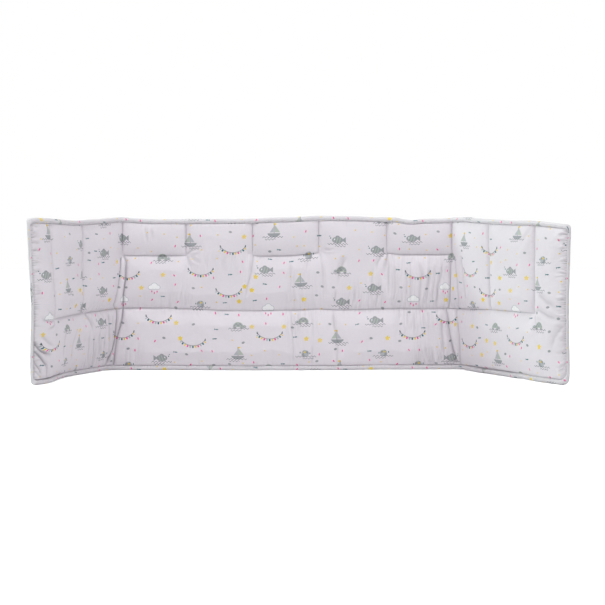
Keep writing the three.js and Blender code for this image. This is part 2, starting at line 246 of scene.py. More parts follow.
def standing(s, v, h):
    """Flat points, in millimetres, where the bumper stands, in metres."""
    s, v, h = np.broadcast_arrays(s, v, h)
    z = height_at(s, v)
    side = np.where(s < 0, -1, 1)
    left = looked_up(PLANS[-1], z / HEIGHT, np.abs(s))
    right = looked_up(PLANS[1], z / HEIGHT, np.abs(s))
    x, y, turn = np.where(side < 0, left, right)
    on_back = np.clip(s, -CORNER, CORNER)
    slope = (sway_at(on_back + 1) - sway_at(on_back - 1)) / 2
    turn = turn - side * np.arctan(slope)
    y = y + sway_at(on_back) - sway_at(np.zeros(1))
    x = side * (x - np.sin(turn) * h)
    y = y - np.cos(turn) * h
    return np.stack([x, y, z], axis=-1) * MM


ends = standing(np.array([-LEFT_END, RIGHT_END]), np.full(2, HEIGHT), np.zeros(2))
print("top ends of the strip:", np.round(ends, 3).tolist())

# %% [markdown]
# ## Pockets and folds
# A seam sews both panels through the wadding, so the pad is thin on the seam and swells
# beside it to a crown, steeply at first and then slowly, like a cushion. Where the bumper
# turns a corner the inside panel is longer than its way round, and presses into upright
# folds. Both are written as shares of the crown that are multiplied together, and two
# powers shape the swell: one says how flat the middle of a pocket is, and the other how
# steep its flank is. A sculpted or displaced mesh would do as well, but a formula keeps
# every seam exactly on its line.

# %% The folds at the corners
FOLD_RISE = 20.0  # how far from a fold the pad is full again
# (v, s) of each fold from the top down, the heights that it shows between, and the share
# of the crown that it leaves
FOLDS = [
    (
        [(417, -606), (312, -629), (237, -653), (219, -629), (118, -631), (74, -641),
         (25, -670), (0, -674)],
        (20, 410), 0.38,
    ),
    (
        [(417, -593), (395, -585), (329, -589), (275, -599), (222, -598), (180, -602),
         (117, -622), (55, -630), (0, -637)],
        (20, 420), 0.42,
    ),
    (
        [(420, 600), (329, 599), (256, 595), (228, 588), (219, 580), (179, 585),
         (116, 594), (72, 605), (32, 621), (0, 624)],
        (30, 420), 0.57,
    ),
    (
        [(413, 624), (366, 634), (320, 648), (256, 652), (228, 640), (219, 627),
         (170, 636), (118, 639), (0, 639)],
        (20, 410), 0.6,
    ),
    ([(415, 675), (332, 684), (261, 701), (222, 690)], (261, 415), 0.7),
    ([(230, 174), (216, 168), (161, 169), (109, 181), (0, 184)], (20, 216), 0.75),
]


# %% Fullness of the pockets
FLAT_MIDDLE = 2.6  # the larger, the wider and flatter the middle of a pocket
STEEP_SEAM = 0.62  # the smaller, the steeper its flank beside the seam


def fullness(d, left, rise):
    """Share of the crown at distance d from a line that leaves a share of it."""
    near = 1 - np.clip(d / rise, 0, 1)
    return left + (1 - left) * (1 - near**FLAT_MIDDLE) ** STEEP_SEAM


def off_line(s, v, ends):
    """How far a flat point is from a straight seam."""
    s0, v0, s1, v1 = ends
    run = (s1 - s0) ** 2 + (v1 - v0) ** 2
    t = np.clip(((s - s0) * (s1 - s0) + (v - v0) * (v1 - v0)) / run, 0, 1)
    return np.hypot(s - s0 - (s1 - s0) * t, v - v0 - (v1 - v0) * t)


def corner_radius(s, v):
    """The radius of the pad's corner in the quarter of the pattern that a point lies in."""
    return np.where((s > 0) & (v < PAD_MIDDLE), ROUND_CORNER, CORNER_RADIUS)


def to_edge(s, v):
    """How far inside the pad's edge a flat point is. The corners are rounded."""
    radius = corner_radius(s, v)
    from_end = np.minimum(s - PAD_LEFT, PAD_RIGHT - s)
    from_side = np.minimum(v - PAD_FLOOR, PAD_TOP - v)
    past_end = np.maximum(0, radius - from_end)
    past_side = np.maximum(0, radius - from_side)
    rounded = radius - np.hypot(past_end, past_side)
    in_corner = (past_end > 0) & (past_side > 0)
    return np.where(in_corner, rounded, np.minimum(from_end, from_side))


def end_share(s):
    return fullness(np.minimum(s - PAD_LEFT, PAD_RIGHT - s), END_NECK, END_RISE)


def to_seam(s, v):
    return np.minimum.reduce([off_line(s, v, ends) for ends in SEAM_ENDS])


def fold_off(s, v, fold):
    """How far a flat point is from a fold."""
    line, (foot, top), _ = fold
    down, across = np.array(line, float)[::-1].T
    beyond = np.maximum(0, np.maximum(v - top, foot - v))
    return np.hypot(s - np.interp(v, down, across), beyond)


# %% [markdown]
# ## Narrow creases
# Soft pockets alone look like clay. The thread cuts a narrow crease into the valley at each
# seam, each fold has one too, and the pad turns under where the strip is sewn on. It does
# so least along the top, more along the floor, and most where the wings stand on the floor
# and down the left end.

# %% Narrow creases at seams, folds and edge
SEAM_CREASE = 3.5
CREASE_WIDTH = 3.0
FOLD_CREASE = 9.8  # of a fold that would leave nothing of the crown, and less for the others
FOLD_WIDTH = 4.2
UNDERTURN = 3.2
TOP_UNDERTURN = 0.9
WING_UNDERTURN = 3.6  # what is added where a wing stands on the floor
LEFT_UNDERTURN = 2.6  # what is added down the left end
LEFT_REACH = 12.0
# (s, share) of the wings' part of the floor edge that turns under more
WING_REACH = np.array([
    (-1150, 1), (-1050, 1), (-995, 0), (650, 0), (700, 1), (940, 1), (1010, 0),
], float)


def crease(distance, width):
    return np.exp(-((distance / width) ** 2))


def creases_at(s, v, is_front, sharper=1.0):
    """How far the sewing and the sharp folds pull the surface in, in millimetres."""
    width = CREASE_WIDTH / sharper
    fold_width = FOLD_WIDTH / math.sqrt(sharper)
    depth = SEAM_CREASE * crease(to_seam(s, v), width)
    for fold in FOLDS if is_front else []:
        left = fold[2]
        pulled = FOLD_CREASE * (1 - left) * crease(fold_off(s, v, fold), fold_width)
        depth = np.maximum(depth, pulled)
    wing = WING_UNDERTURN * np.interp(s, *WING_REACH.T) * (v < MID_SEAM)
    under = np.where(v < SHORT_SEAM, UNDERTURN + wing, TOP_UNDERTURN)
    under = under + LEFT_UNDERTURN * (s < PAD_LEFT + LEFT_REACH)
    return np.maximum(depth, under * crease(to_edge(s, v), width))


# %% The pad's thickness
def pad_half(s, v, is_front):
    """Half the pad's thickness, in front of or behind the middle of the filling."""
    crown = FRONT_CROWN if is_front else BACK_CROWN
    share = fullness(to_edge(s, v), NECK_HALF / crown, RISE)
    for ends in SEAM_ENDS:
        share = share * fullness(off_line(s, v, ends), PINCH, RISE)
    for fold in FOLDS if is_front else []:
        share = share * fullness(fold_off(s, v, fold), fold[2], FOLD_RISE)
    half = np.maximum(crown * share, THINNEST)
    half = np.where(to_edge(s, v) <= 0, NECK_HALF, half) * end_share(s)
    return np.maximum(half - creases_at(s, v, is_front), LEAST_HALF)


FULL_PLACE = (np.array([-480.0]), np.array([320.0]))  # the middle of a pocket
full_halves = [float(pad_half(*FULL_PLACE, is_front)[0]) for is_front in (True, False)]
print("half of a full pocket, in front and behind:", np.round(full_halves, 1).tolist(), "mm")


# %% [markdown]
# ## The grid of cloth
# Each panel is one grid, finer beside the seams, where the cloth turns down into the
# stitching. The columns stand closer than the rows, because most wrinkles of this bumper
# run up and down.

# %% Rows and columns of a panel
def spaced(marks, step, close):
    """Places from mark to mark, an even number of steps, with close ones beside each mark."""
    out = [marks[0]]
    for a, b in zip(marks[:-1], marks[1:]):
        inner_a = a + close[-1]
        inner_b = b - close[-1]
        pairs = max(1, round((inner_b - inner_a) / (2 * step)))
        middle = np.linspace(inner_a, inner_b, 2 * pairs + 1)[1:-1]
        out += [a + off for off in close] + list(middle) + [b - off for off in close[::-1]] + [b]
    return np.array(out, float)


def panel_grid(column_step, row_step, close):
    marks = [PAD_LEFT] + [s for s, _ in SEAMS["uprights"]] + [PAD_RIGHT]
    s = spaced(marks, column_step, close)
    v = spaced([PAD_FLOOR, MID_SEAM, SHORT_SEAM, PAD_TOP], row_step, close)
    # near its ends the pad is lower, by its rounded corners
    radius = corner_radius(s[:, None], v[None, :])
    from_end = np.minimum(s - PAD_LEFT, PAD_RIGHT - s)[:, None]
    into = np.clip(radius - from_end, 0, radius)
    drop = radius - np.sqrt(radius**2 - into**2)
    half = (PAD_TOP - PAD_FLOOR) / 2
    flat_v = PAD_MIDDLE + (v[None, :] - PAD_MIDDLE) * (1 - drop / half)
    flat_s = np.repeat(s[:, None], len(v), axis=1)
    return SimpleNamespace(
        s=s, v=v, flat_s=flat_s, flat_v=flat_v,
        relief=np.zeros(flat_s.shape), painted_shade=np.zeros(flat_s.shape),
    )


FRONT_COLUMN = 3.4  # millimetres between columns, and between rows
FRONT_ROW = 4.2
FRONT_CLOSE = (1.5, 3.6, 6.5)  # and where the close ones stand beside each seam
front_grid = panel_grid(FRONT_COLUMN, FRONT_ROW, FRONT_CLOSE)
print("front grid:", len(front_grid.s), "columns,", len(front_grid.v), "rows")

# %% [markdown]
# ## Wrinkles
# Three things wrinkle this bumper. Every seam gathers the cloth a little, in short puckers
# square to the stitching. The inside panel has cloth to spare near the corners, which
# stands up in long thin wrinkles. And a few creases come from how it was folded and set
# down. Each wrinkle is a soft trough with a low rim on both sides, pressed into the flat
# relief. Puckers are drawn at random from a fixed seed, and the creases are listed one by one.
# The bottom of a trough gets little light, so each one is also written down as a hollow,
# which the finish paints darker later, as painted shade.

# %% Pressing troughs into the relief
RIM = 0.42  # height of a wrinkle's rim, as a share of its depth
RIM_AWAY = 1.9  # how many widths the rim stands from the middle of its trough
TROUGH_ENDS = 3.6  # how many widths away the rim has faded
HAIR = 1e-6  # keeps the start of a fade below its end, and a divisor above 0
# Each trough's painted shade: how deep a trough is for the darkest, and how narrow its line is.
HOLLOW_DEPTH = 5.0  # a trough this deep is as dark as a trough gets
HOLLOW_SHARPER = 2.0  # and its dark line is this much narrower than the trough
WRINKLE_SEED = 11
dice = np.random.default_rng(WRINKLE_SEED)


def trough_at(x):
    """A trough of depth 1 between its rims, x widths from its middle."""
    return np.exp(-x * x) - RIM * np.exp(-((x - RIM_AWAY) ** 2))


def press(grid, points, width, depth, head, tail):
    """Presses one wrinkle along the points. Head and tail are the shares that fade out."""
    points = np.asarray(points, float)
    reach = TROUGH_ENDS * width
    i0, i1 = np.searchsorted(grid.s, (points[:, 0].min() - reach, points[:, 0].max() + reach))
    j0, j1 = np.searchsorted(grid.v, (points[:, 1].min() - reach, points[:, 1].max() + reach))
    s = grid.s[i0:i1, None]
    v = grid.v[None, j0:j1]
    nearest = np.full((i1 - i0, j1 - j0), np.inf)
    share = np.zeros_like(nearest)
    steps = np.diff(points, axis=0)
    lengths = np.hypot(*steps.T)
    done = np.concatenate([[0], np.cumsum(lengths)]) / lengths.sum()
    for (s0, v0), (ds, dv), length, start, end in zip(points, steps, lengths, done, done[1:]):
        t = np.clip(((s - s0) * ds + (v - v0) * dv) / length**2, 0, 1)
        off = np.hypot(s - s0 - ds * t, v - v0 - dv * t)
        closer = off < nearest
        share = np.where(closer, start + t * (end - start), share)
        nearest = np.where(closer, off, nearest)
    fade = smooth(share, -HAIR, head) * smooth(1 - share, -HAIR, tail)
    x = nearest / width
    grid.relief[i0:i1, j0:j1] -= depth * fade * trough_at(x)
    grid.painted_shade[i0:i1, j0:j1] += depth / HOLLOW_DEPTH * fade * np.exp(-((HOLLOW_SHARPER * x) ** 2))


# %% Puckers along a seam
PUCKER_LONG = (0.45, 1.5)  # the shares of its length, depth and pitch that a pucker may have
PUCKER_DEEP = (0.3, 1.5)
PUCKER_APART = (0.6, 1.45)
PUCKER_WIDTH = (2.4, 3.8)
PUCKER_LEAN = 0.22  # how far most of them lean, as a share of their length
PUCKER_HEAD = 0.12  # the shares of a pucker that fade at the seam and at its far end
PUCKER_TAIL = 0.7


def pucker_seam(grid, ends, away, pitch, length, depth):
    """Short puckers along one side of a seam. away is the way they run from it."""
    s0, v0, s1, v1 = ends
    run = math.hypot(s1 - s0, v1 - v0)
    at = pitch / 2
    while at < run:
        share = at / run
        foot = np.array([s0 + (s1 - s0) * share, v0 + (v1 - v0) * share])
        long = length * dice.uniform(*PUCKER_LONG)
        lean = dice.normal(0, PUCKER_LEAN)
        way = np.array([away[0] - away[1] * lean, away[1] + away[0] * lean])
        width = dice.uniform(*PUCKER_WIDTH)
        deep = depth * dice.uniform(*PUCKER_DEEP)
        press(grid, [foot, foot + way * long], width, deep, PUCKER_HEAD, PUCKER_TAIL)
        at += pitch * dice.uniform(*PUCKER_APART)


# %% Gathered cloth: where long thin wrinkles stand side by side
# start and end along the bumper, the height v they start at, how far they run up or down,
# their pitch and depth, their lean to the right as they go, and the share faded at the head
Gather = namedtuple("Gather", "start end v run pitch depth lean head")
GATHERS = [
    Gather(*row)
    for row in [
        (372, 596, 224, 195, 13, 1.05, 0.07, 0.03),
        (372, 596, 415, -150, 17, 0.65, 0.02, 0.10),
        (400, 590, 219, -110, 14, 1.2, 0.05, 0.04),
        (470, 640, 24, 95, 12, 1.4, -0.25, 0.04),
        (205, 352, 224, 95, 12, 1.2, 0.10, 0.03),
        (10, 110, 224, 150, 26, 0.8, 0.0, 0.03),
        (0, 110, 219, -170, 24, 0.8, 0.05, 0.03),
        (604, 700, 224, 70, 10, 1.5, -0.25, 0.03),
        (640, 760, 219, -60, 14, 0.7, 0.1, 0.03),
        (-830, -665, 224, 38, 10, 1.5, 1.0, 0.03),
        (-830, -655, 24, 120, 26, 1.5, -0.05, 0.05),
        (-830, -690, 219, -75, 22, 0.9, 0.6, 0.04),
        (-360, -130, 414, -80, 34, 0.7, 0.2, 0.2),
        (-560, -380, 224, 60, 24, 0.5, 0.0, 0.03),
        (-440, -340, 226, 130, 17, 0.7, 0.12, 0.2),
        (-596, -535, 24, 120, 18, 0.8, 0.0, 0.1),
    ]
]
GATHER_DEPTH = 1.7  # all of them are pressed this much deeper than the rows say
GATHER_LONG = (0.35, 1.15)  # the shares of its run, depth and pitch that a wrinkle may have
GATHER_DEEP = (0.35, 1.3)
GATHER_APART = (0.65, 1.4)
GATHER_WIDE = (0.2, 0.34)  # its width, as a share of the pitch
GATHER_LEAN = 0.04  # how far most of them differ from the row's lean
GATHER_BOW = 2.5  # how far most of them bow to a side
GATHER_TAIL = 0.6


def gather(grid, row):
    """The long thin wrinkles of one row."""
    s = row.start + row.pitch / 2
    while s < row.end:
        run = row.run * dice.uniform(*GATHER_LONG)
        lean = row.lean + dice.normal(0, GATHER_LEAN)
        bow = dice.normal(0, GATHER_BOW)
        points = [
            (s, row.v),
            (s + lean * abs(run) * 0.5 + bow, row.v + run * 0.5),
            (s + lean * abs(run), row.v + run),
        ]
        width = dice.uniform(*GATHER_WIDE) * row.pitch
        depth = row.depth * GATHER_DEPTH * dice.uniform(*GATHER_DEEP)
        press(grid, points, width, depth, row.head, GATHER_TAIL)
        s += row.pitch * dice.uniform(*GATHER_APART)


# %% Creases, listed one by one
CREASE_DEPTH = 1.9  # all of them are pressed this much deeper than the rows say
# points (s, v), width, depth, and the shares that fade at the start and at the end
CREASES = [
    # from the foot of the seam at 361, down and to the left
    ([(364, 424), (359, 391), (354, 345)], 5.0, 4.2, 0.02, 0.7),
    ([(357, 424), (340, 410), (327, 386), (322, 350)], 7.0, 3.0, 0.05, 0.6),
    ([(218, 414), (204, 394), (188, 353), (180, 300)], 10.0, 2.6, 0.35, 0.5),
    ([(177, 300), (168, 236)], 7.0, 2.0, 0.4, 0.3),
    ([(247, 300), (243, 241)], 5.0, 1.4, 0.5, 0.2),
    ([(311, 380), (306, 300), (300, 240)], 6.0, 1.6, 0.4, 0.3),
    ([(333, 345), (331, 290), (322, 240)], 5.0, 1.6, 0.4, 0.3),
    # the right pocket and the corner beside it
    ([(388, 398), (391, 288), (383, 240)], 4.5, 1.9, 0.3, 0.15),
    ([(368, 402), (366, 248)], 4.5, 1.9, 0.2, 0.3),
    ([(433, 389), (433, 250)], 5.0, 1.2, 0.3, 0.3),
    ([(446, 395), (447, 250)], 4.5, 1.4, 0.3, 0.3),
    ([(480, 401), (489, 347), (481, 288), (478, 237)], 6.0, 1.9, 0.25, 0.15),
    ([(520, 378), (514, 322), (506, 237)], 6.0, 2.0, 0.3, 0.15),
    ([(536, 395), (537, 333), (531, 294), (527, 237)], 4.5, 2.0, 0.3, 0.15),
    ([(561, 395), (559, 356), (548, 294), (544, 237)], 6.0, 2.3, 0.2, 0.15),
    ([(582, 381), (570, 340)], 5.0, 1.6, 0.2, 0.5),
    ([(436, 214), (437, 150)], 4.0, 1.3, 0.1, 0.5),
    ([(462, 214), (463, 109)], 4.5, 1.5, 0.1, 0.5),
    ([(495, 214), (495, 130)], 4.5, 1.6, 0.1, 0.5),
    ([(512, 214), (513, 130)], 4.5, 1.6, 0.1, 0.5),
    ([(556, 200), (560, 184), (566, 109), (572, 40)], 6.0, 2.4, 0.2, 0.25),
    ([(528, 75), (530, 24)], 6.0, 1.8, 0.6, 0.1),
    ([(477, 91), (480, 24)], 6.0, 1.4, 0.6, 0.1),
    ([(600, 96), (618, 26)], 5.0, 2.4, 0.5, 0.1),
    # under the seams at 114 and -126
    ([(118, 420), (126, 360), (130, 300), (131, 240)], 5.0, 1.8, 0.05, 0.3),
    ([(132, 433), (150, 431), (176, 437)], 4.0, 1.5, 0.05, 0.6),
    ([(-123, 422), (-130, 357), (-146, 301), (-154, 250)], 6.0, 2.6, 0.02, 0.35),
    ([(12, 410), (12, 241)], 5.0, 1.5, 0.25, 0.15),
    ([(24, 380), (24, 240)], 4.0, 1.0, 0.3, 0.15),
    ([(75, 416), (68, 350)], 5.0, 1.3, 0.1, 0.5),
    ([(12, 216), (24, 25)], 5.0, 1.5, 0.1, 0.1),
    ([(22, 216), (36, 60)], 4.0, 1.1, 0.1, 0.4),
    ([(39, 212), (39, 125)], 5.0, 1.2, 0.1, 0.5),
    ([(89, 110), (89, 22)], 5.0, 1.4, 0.5, 0.1),
    # from the foot of the seam at -367
    ([(-366, 424), (-345, 440), (-312, 444)], 5.0, 1.8, 0.05, 0.6),
    ([(-365, 417), (-350, 380), (-334, 335)], 6.0, 1.9, 0.05, 0.6),
    ([(-352, 420), (-330, 400), (-300, 390)], 6.0, 1.3, 0.1, 0.6),
    # the left wing's lower band
    ([(-826, 219), (-800, 195), (-780, 140)], 8.0, 2.4, 0.05, 0.5),
    ([(-778, 150), (-770, 75), (-765, 25)], 8.0, 2.4, 0.4, 0.1),
    ([(-744, 165), (-734, 40)], 8.0, 2.4, 0.35, 0.35),
    ([(-711, 150), (-703, 30)], 8.0, 2.2, 0.35, 0.3),
    ([(-690, 214), (-678, 140), (-668, 60)], 7.0, 2.4, 0.1, 0.4),
    ([(-661, 200), (-655, 130), (-653, 80)], 6.0, 2.0, 0.15, 0.5),
    ([(-808, 170), (-802, 100), (-800, 30)], 9.0, 1.8, 0.4, 0.2),
    ([(-900, 190), (-930, 110), (-935, 40)], 12.0, 1.6, 0.5, 0.3),
    ([(-1010, 200), (-1020, 120), (-1010, 50)], 13.0, 1.6, 0.4, 0.4),
    # in the first pocket under the top edge
    ([(-516, 530), (-510, 492), (-502, 446)], 6.0, 1.8, 0.25, 0.5),
    ([(-494, 524), (-490, 488), (-484, 462)], 5.5, 1.5, 0.3, 0.6),
    # the foot of the seam at -1080, and the folds in the corner below it
    ([(-1082, 222), (-1110, 214), (-1150, 222), (-1172, 240)], 6.5, 2.4, 0.1, 0.4),
    ([(-1084, 214), (-1104, 196), (-1140, 190)], 6.5, 2.2, 0.1, 0.5),
    ([(-1086, 230), (-1112, 240), (-1150, 262)], 5.5, 1.7, 0.1, 0.5),
    ([(-1180, 150), (-1166, 122), (-1144, 108), (-1112, 104)], 5.6, 6.2, 0.02, 0.4),
    ([(-1180, 118), (-1158, 92), (-1140, 68), (-1131, 46)], 5.2, 5.4, 0.02, 0.35),
    ([(-1181, 80), (-1166, 56), (-1158, 30)], 4.6, 4.2, 0.05, 0.4),
    ([(-1160, 170), (-1128, 140), (-1100, 128)], 9.0, 2.4, 0.2, 0.4),
    ([(-1137, 62), (-1134, 22)], 4.2, 3.4, 0.2, 0.02),
    ([(-1181, 48), (-1168, 36), (-1156, 20)], 4.2, 2.4, 0.05, 0.05),
    # the right end
    ([(1082, 222), (1110, 236), (1160, 216), (1205, 204)], 9.0, 2.2, 0.2, 0.3),
    ([(1096, 300), (1130, 281), (1190, 243)], 12.0, 2.2, 0.4, 0.3),
    ([(1084, 214), (1100, 180), (1112, 130)], 8.0, 1.6, 0.05, 0.6),
    ([(1210, 190), (1180, 150), (1160, 90)], 10.0, 1.8, 0.1, 0.5),
]
print("creases by hand:", len(CREASES), "rows of gathers:", len(GATHERS))

# %% All the puckers of a panel
PUCKERS = {
    # pitch along the seam, length away from it, depth
    "upright": (15.0, 17.0, 0.9),
    "across": (11.5, 18.0, 1.1),
    "edge": (12.0, 17.0, 1.1),
    "end": (11.5, 28.0, 3.2),
}


def add_puckers(grid):
    """Puckers on both sides of every seam, and on the inside of the four edges."""
    for ends in SEAM_ENDS:
        upright = ends[0] == ends[2]
        kind = PUCKERS["upright" if upright else "across"]
        for way in (-1, 1):
            pucker_seam(grid, ends, (way, 0) if upright else (0, way), *kind)
    for v, way in ((PAD_FLOOR, 1), (PAD_TOP, -1)):
        pucker_seam(grid, (PAD_LEFT, v, PAD_RIGHT, v), (0, way), *PUCKERS["edge"])
    for s, way in ((PAD_LEFT, 1), (PAD_RIGHT, -1)):
        pucker_seam(grid, (s, PAD_FLOOR, s, PAD_TOP), (way, 0), *PUCKERS["end"])


# %% Slow unevenness of the wadding
UNEVEN = [(0.45, 110, 9), (0.22, 42, 12)]  # height, size from crest to crest, and how many waves
WAVE_LONG = (0.7, 1.5)  # the shares of that size that a single wave may have
SEWN_FLAT = (0.3, 6.0)  # from and to off a seam, where the relief grows from nothing to full


def waves(s, v, size, count):
    """A sum of sine waves in random directions, about one high, size from crest to crest."""
    total = np.zeros(np.broadcast(s, v).shape)
    for _ in range(count):
        angle = dice.uniform(0, math.pi)
        length = size * dice.uniform(*WAVE_LONG)
        phase = dice.uniform(0, 2 * math.pi)
        total += np.sin((s * math.cos(angle) + v * math.sin(angle)) * 2 * math.pi / length + phase)
    return total * math.sqrt(2 / count)


def wrinkled(grid, is_front):
    """What wrinkles and uneven wadding add to the relief of a panel, in millimetres."""
    add_puckers(grid)
    if is_front:
        for row in GATHERS:
            gather(grid, row)
        for points, width, depth, head, tail in CREASES:
            press(grid, points, width, depth * CREASE_DEPTH, head, tail)
    s, v = grid.flat_s, grid.flat_v
    slow = sum(high * waves(s, v, size, count) for high, size, count in UNEVEN)
    nearest = np.minimum(to_seam(s, v), to_edge(s, v))
    return (grid.relief + slow) * smooth(nearest, *SEWN_FLAT)


# %% [markdown]
# ## Swelling the panels with simulated cloth
# The wadding pushes the cotton out between the seams. Blender's cloth does that: the seams
# are pinned, gravity is off, and a light pressure swells the grid while it lies flat. The
# wrinkles are in the starting shape, so the cloth is already cut with their spare length
# and keeps them, as sewn cloth does. How far a point may move is capped, and the result is
# read back into plain numbers, so no modifier is left on the piece.

# %% Helpers that make a mesh and weigh its points
def grid_faces(rows, columns, flip):
    """The four corners of every face of a grid of points."""
    at = np.arange(rows * columns).reshape(rows, columns)
    corners = [at[:-1, :-1], at[1:, :-1], at[1:, 1:], at[:-1, 1:]]
    if flip:
        corners.reverse()
    return np.stack(corners, axis=-1).reshape(-1, 4)


def new_mesh(name, points, faces):
    mesh = bpy.data.meshes.new(name)
    mesh.from_pydata(points.reshape(-1, 3).tolist(), [], faces.tolist())
    mesh.shade_smooth()
    mesh.update()
    thing = bpy.data.objects.new(name, mesh)
    scene.collection.objects.link(thing)
    return thing


def weigh(thing, name, weights, levels=16):
    """A vertex group from weights between 0 and 1, in steps, because a step is one call."""
    group = thing.vertex_groups.new(name=name)
    stepped = np.round(weights.ravel() * levels).astype(int)
    for level in range(1, levels + 1):
        members = np.nonzero(stepped == level)[0]
        if len(members):
            group.add(members.tolist(), level / levels, "REPLACE")


# %% One short simulation of a flat panel
SIM = SimpleNamespace(
    frames=12,
    quality=3,
    pressure=2.6,
    mass=0.3,
    bending=3.0,
    spare=0.04,  # how much larger the cloth wants to be beside the seams, as a share
)


def swell(name, flat, pinned, spare):
    """The flat points after the cloth has swelled, in millimetres."""
    thing = new_mesh(name, flat * MM, grid_faces(*flat.shape[:2], flip=False))
    weigh(thing, "pinned", pinned)
    weigh(thing, "spare", spare)
    modifier = thing.modifiers.new("Cloth", "CLOTH")
    cloth = modifier.settings
    cloth.quality = SIM.quality
    cloth.mass = SIM.mass
    cloth.vertex_group_mass = "pinned"
    cloth.vertex_group_shrink = "spare"
    cloth.shrink_min = 0.0
    cloth.shrink_max = -SIM.spare
    cloth.bending_stiffness = SIM.bending
    cloth.use_pressure = True
    cloth.uniform_pressure_force = SIM.pressure
    cloth.effector_weights.gravity = 0
    modifier.collision_settings.use_collision = False
    modifier.point_cache.frame_start = 1
    modifier.point_cache.frame_end = SIM.frames
    for number in range(1, SIM.frames + 1):
        scene.frame_set(number)
    swelled = thing.evaluated_get(bpy.context.evaluated_depsgraph_get())
    out = np.empty(flat.size)
    swelled.data.vertices.foreach_get("co", out)
    mesh = thing.data
    bpy.data.objects.remove(thing)
    bpy.data.meshes.remove(mesh)
    scene.frame_set(1)
    return out.reshape(flat.shape) / MM


# %% Swelling one panel
SWELL_CAP = 5.0
PIN_REACH = 0.8  # points this close to a seam or an edge are pinned
FOLD_HOLD = 0.35  # how firmly a fold that isn't sewn is held
FOLD_HELD = (1.0, 6.0)  # from and to off a fold, where that hold fades


def swelled_panel(name, grid, is_front):
    """One panel: its relief, swelled and capped, with h towards the outside of the pad.

    Wrinkles run up and down, so every column takes part but only every second row, and the
    rows between move as their neighbours do.
    """
    s, v = grid.flat_s, grid.flat_v
    base = pad_half(s, v, is_front)
    start = base + wrinkled(grid, is_front)
    flat = np.stack([s, v, start], axis=-1)
    nearest = np.minimum(to_seam(s, v), to_edge(s, v))
    pinned = (nearest < PIN_REACH).astype(float)
    for fold in FOLDS if is_front else []:
        hold = FOLD_HOLD * (1 - smooth(fold_off(s, v, fold), *FOLD_HELD))
        pinned = np.maximum(pinned, hold)
    spare = np.exp(-((nearest / RISE) ** 2))
    moved = np.zeros(flat.shape)
    moved[:, ::2] = swell(name, flat[:, ::2], pinned[:, ::2], spare[:, ::2]) - flat[:, ::2]
    moved[:, 1::2] = (moved[:, :-2:2] + moved[:, 2::2]) / 2
    far = np.linalg.norm(moved, axis=-1, keepdims=True)
    capped = moved * np.minimum(1, SWELL_CAP / np.maximum(far, HAIR))
    print(name, "swelled by", round(far.mean(), 2), "mm, and at most by", round(far.max(), 2))
    return flat + capped


# %% [markdown]
# ## Two values for the finish
# A renderer lights a hollow as the mesh has it, but the last millimetres of a crease are
# finer than the mesh. So each point keeps two numbers that the finish reads: how deep in a
# hollow it lies, which the finish darkens as painted shade, and how much spare cloth there
# is round it, which is where fine creases come. Painting them by hand would do, but here
# they follow from the seams and wrinkles.

# %% How deep in a hollow each point lies, from 0 to 1, for the finish's painted shade
SEWN_SHARPER = 1.5  # the dark line in a sewn crease is this much narrower than the crease
SEWN_POWER = 1.7  # and the larger this is, the paler are the shallow ones
TROUGH_SHARE = 0.38  # how dark the deepest trough is beside the deepest sewn crease
TROUGHS_CROSSED = 1.7  # where troughs cross, they count as no more than this many


def painted_shade_of(grid, is_front):
    s, v = grid.flat_s, grid.flat_v
    sewn = creases_at(s, v, is_front, SEWN_SHARPER) / (UNDERTURN + WING_UNDERTURN)
    troughs = TROUGH_SHARE * np.minimum(grid.painted_shade, TROUGHS_CROSSED)
    return np.clip(np.maximum(sewn**SEWN_POWER, troughs), 0, 1)


def keep_values(thing, name, values):
    """Writes one number for each point onto the mesh, where a material can read it."""
    layer = thing.data.attributes.new(name, "FLOAT", "POINT")
    layer.data.foreach_set("value", np.ascontiguousarray(values, dtype=np.float32).ravel())


# %% Where there is cloth to spare, from 0 to 1
SPARE_FADE = 26.0  # how far outside a row of gathers its spare cloth reaches
SPARE_USED = 0.75  # share of it that is gone at the far end of the gathers
FULL_SPARE = 1.5  # a gather this deep has all the spare cloth there is


def spare_of(grid):
    s, v = grid.flat_s, grid.flat_v
    spare = np.zeros(s.shape)
    for row in GATHERS:
        low, high = sorted((row.v, row.v + row.run))
        beside = np.maximum(0, np.maximum(row.start - s, s - row.end))
        above = np.maximum(0, np.maximum(low - v, v - high))
        along = np.clip(np.abs(v - row.v) / abs(row.run), 0, 1)
        inside = 1 - smooth(np.hypot(beside, above), 0, SPARE_FADE)
        inside = inside * (1 - SPARE_USED * along)
        spare = np.maximum(spare, inside * min(1, row.depth / FULL_SPARE))
    return spare


# %% The strip is pressed narrower round the two ends, so the pad reaches out further there
END_PRESS = 9.0
PRESS_FADE = 60.0  # how far into the pad the cloth is drawn out for it
PRESS_FROM = np.array([
    -LEFT_END, PAD_LEFT, PAD_LEFT + PRESS_FADE, PAD_RIGHT - PRESS_FADE, PAD_RIGHT, RIGHT_END,
])
PRESS_TO = PRESS_FROM + np.array([0, -END_PRESS, 0, 0, END_PRESS, 0])


def pressed(s):
    return np.interp(s, PRESS_FROM, PRESS_TO)


# %% The front panel
front_flat = swelled_panel("front_cloth", front_grid, True)
front_points = standing(pressed(front_flat[..., 0]), front_flat[..., 1], front_flat[..., 2])
front_panel = new_mesh("front_panel", front_points, grid_faces(*front_points.shape[:2], flip=False))
keep_values(front_panel, "painted_shade", painted_shade_of(front_grid, True))
keep_values(front_panel, "spare", spare_of(front_grid))
print("front panel faces:", len(front_panel.data.polygons))

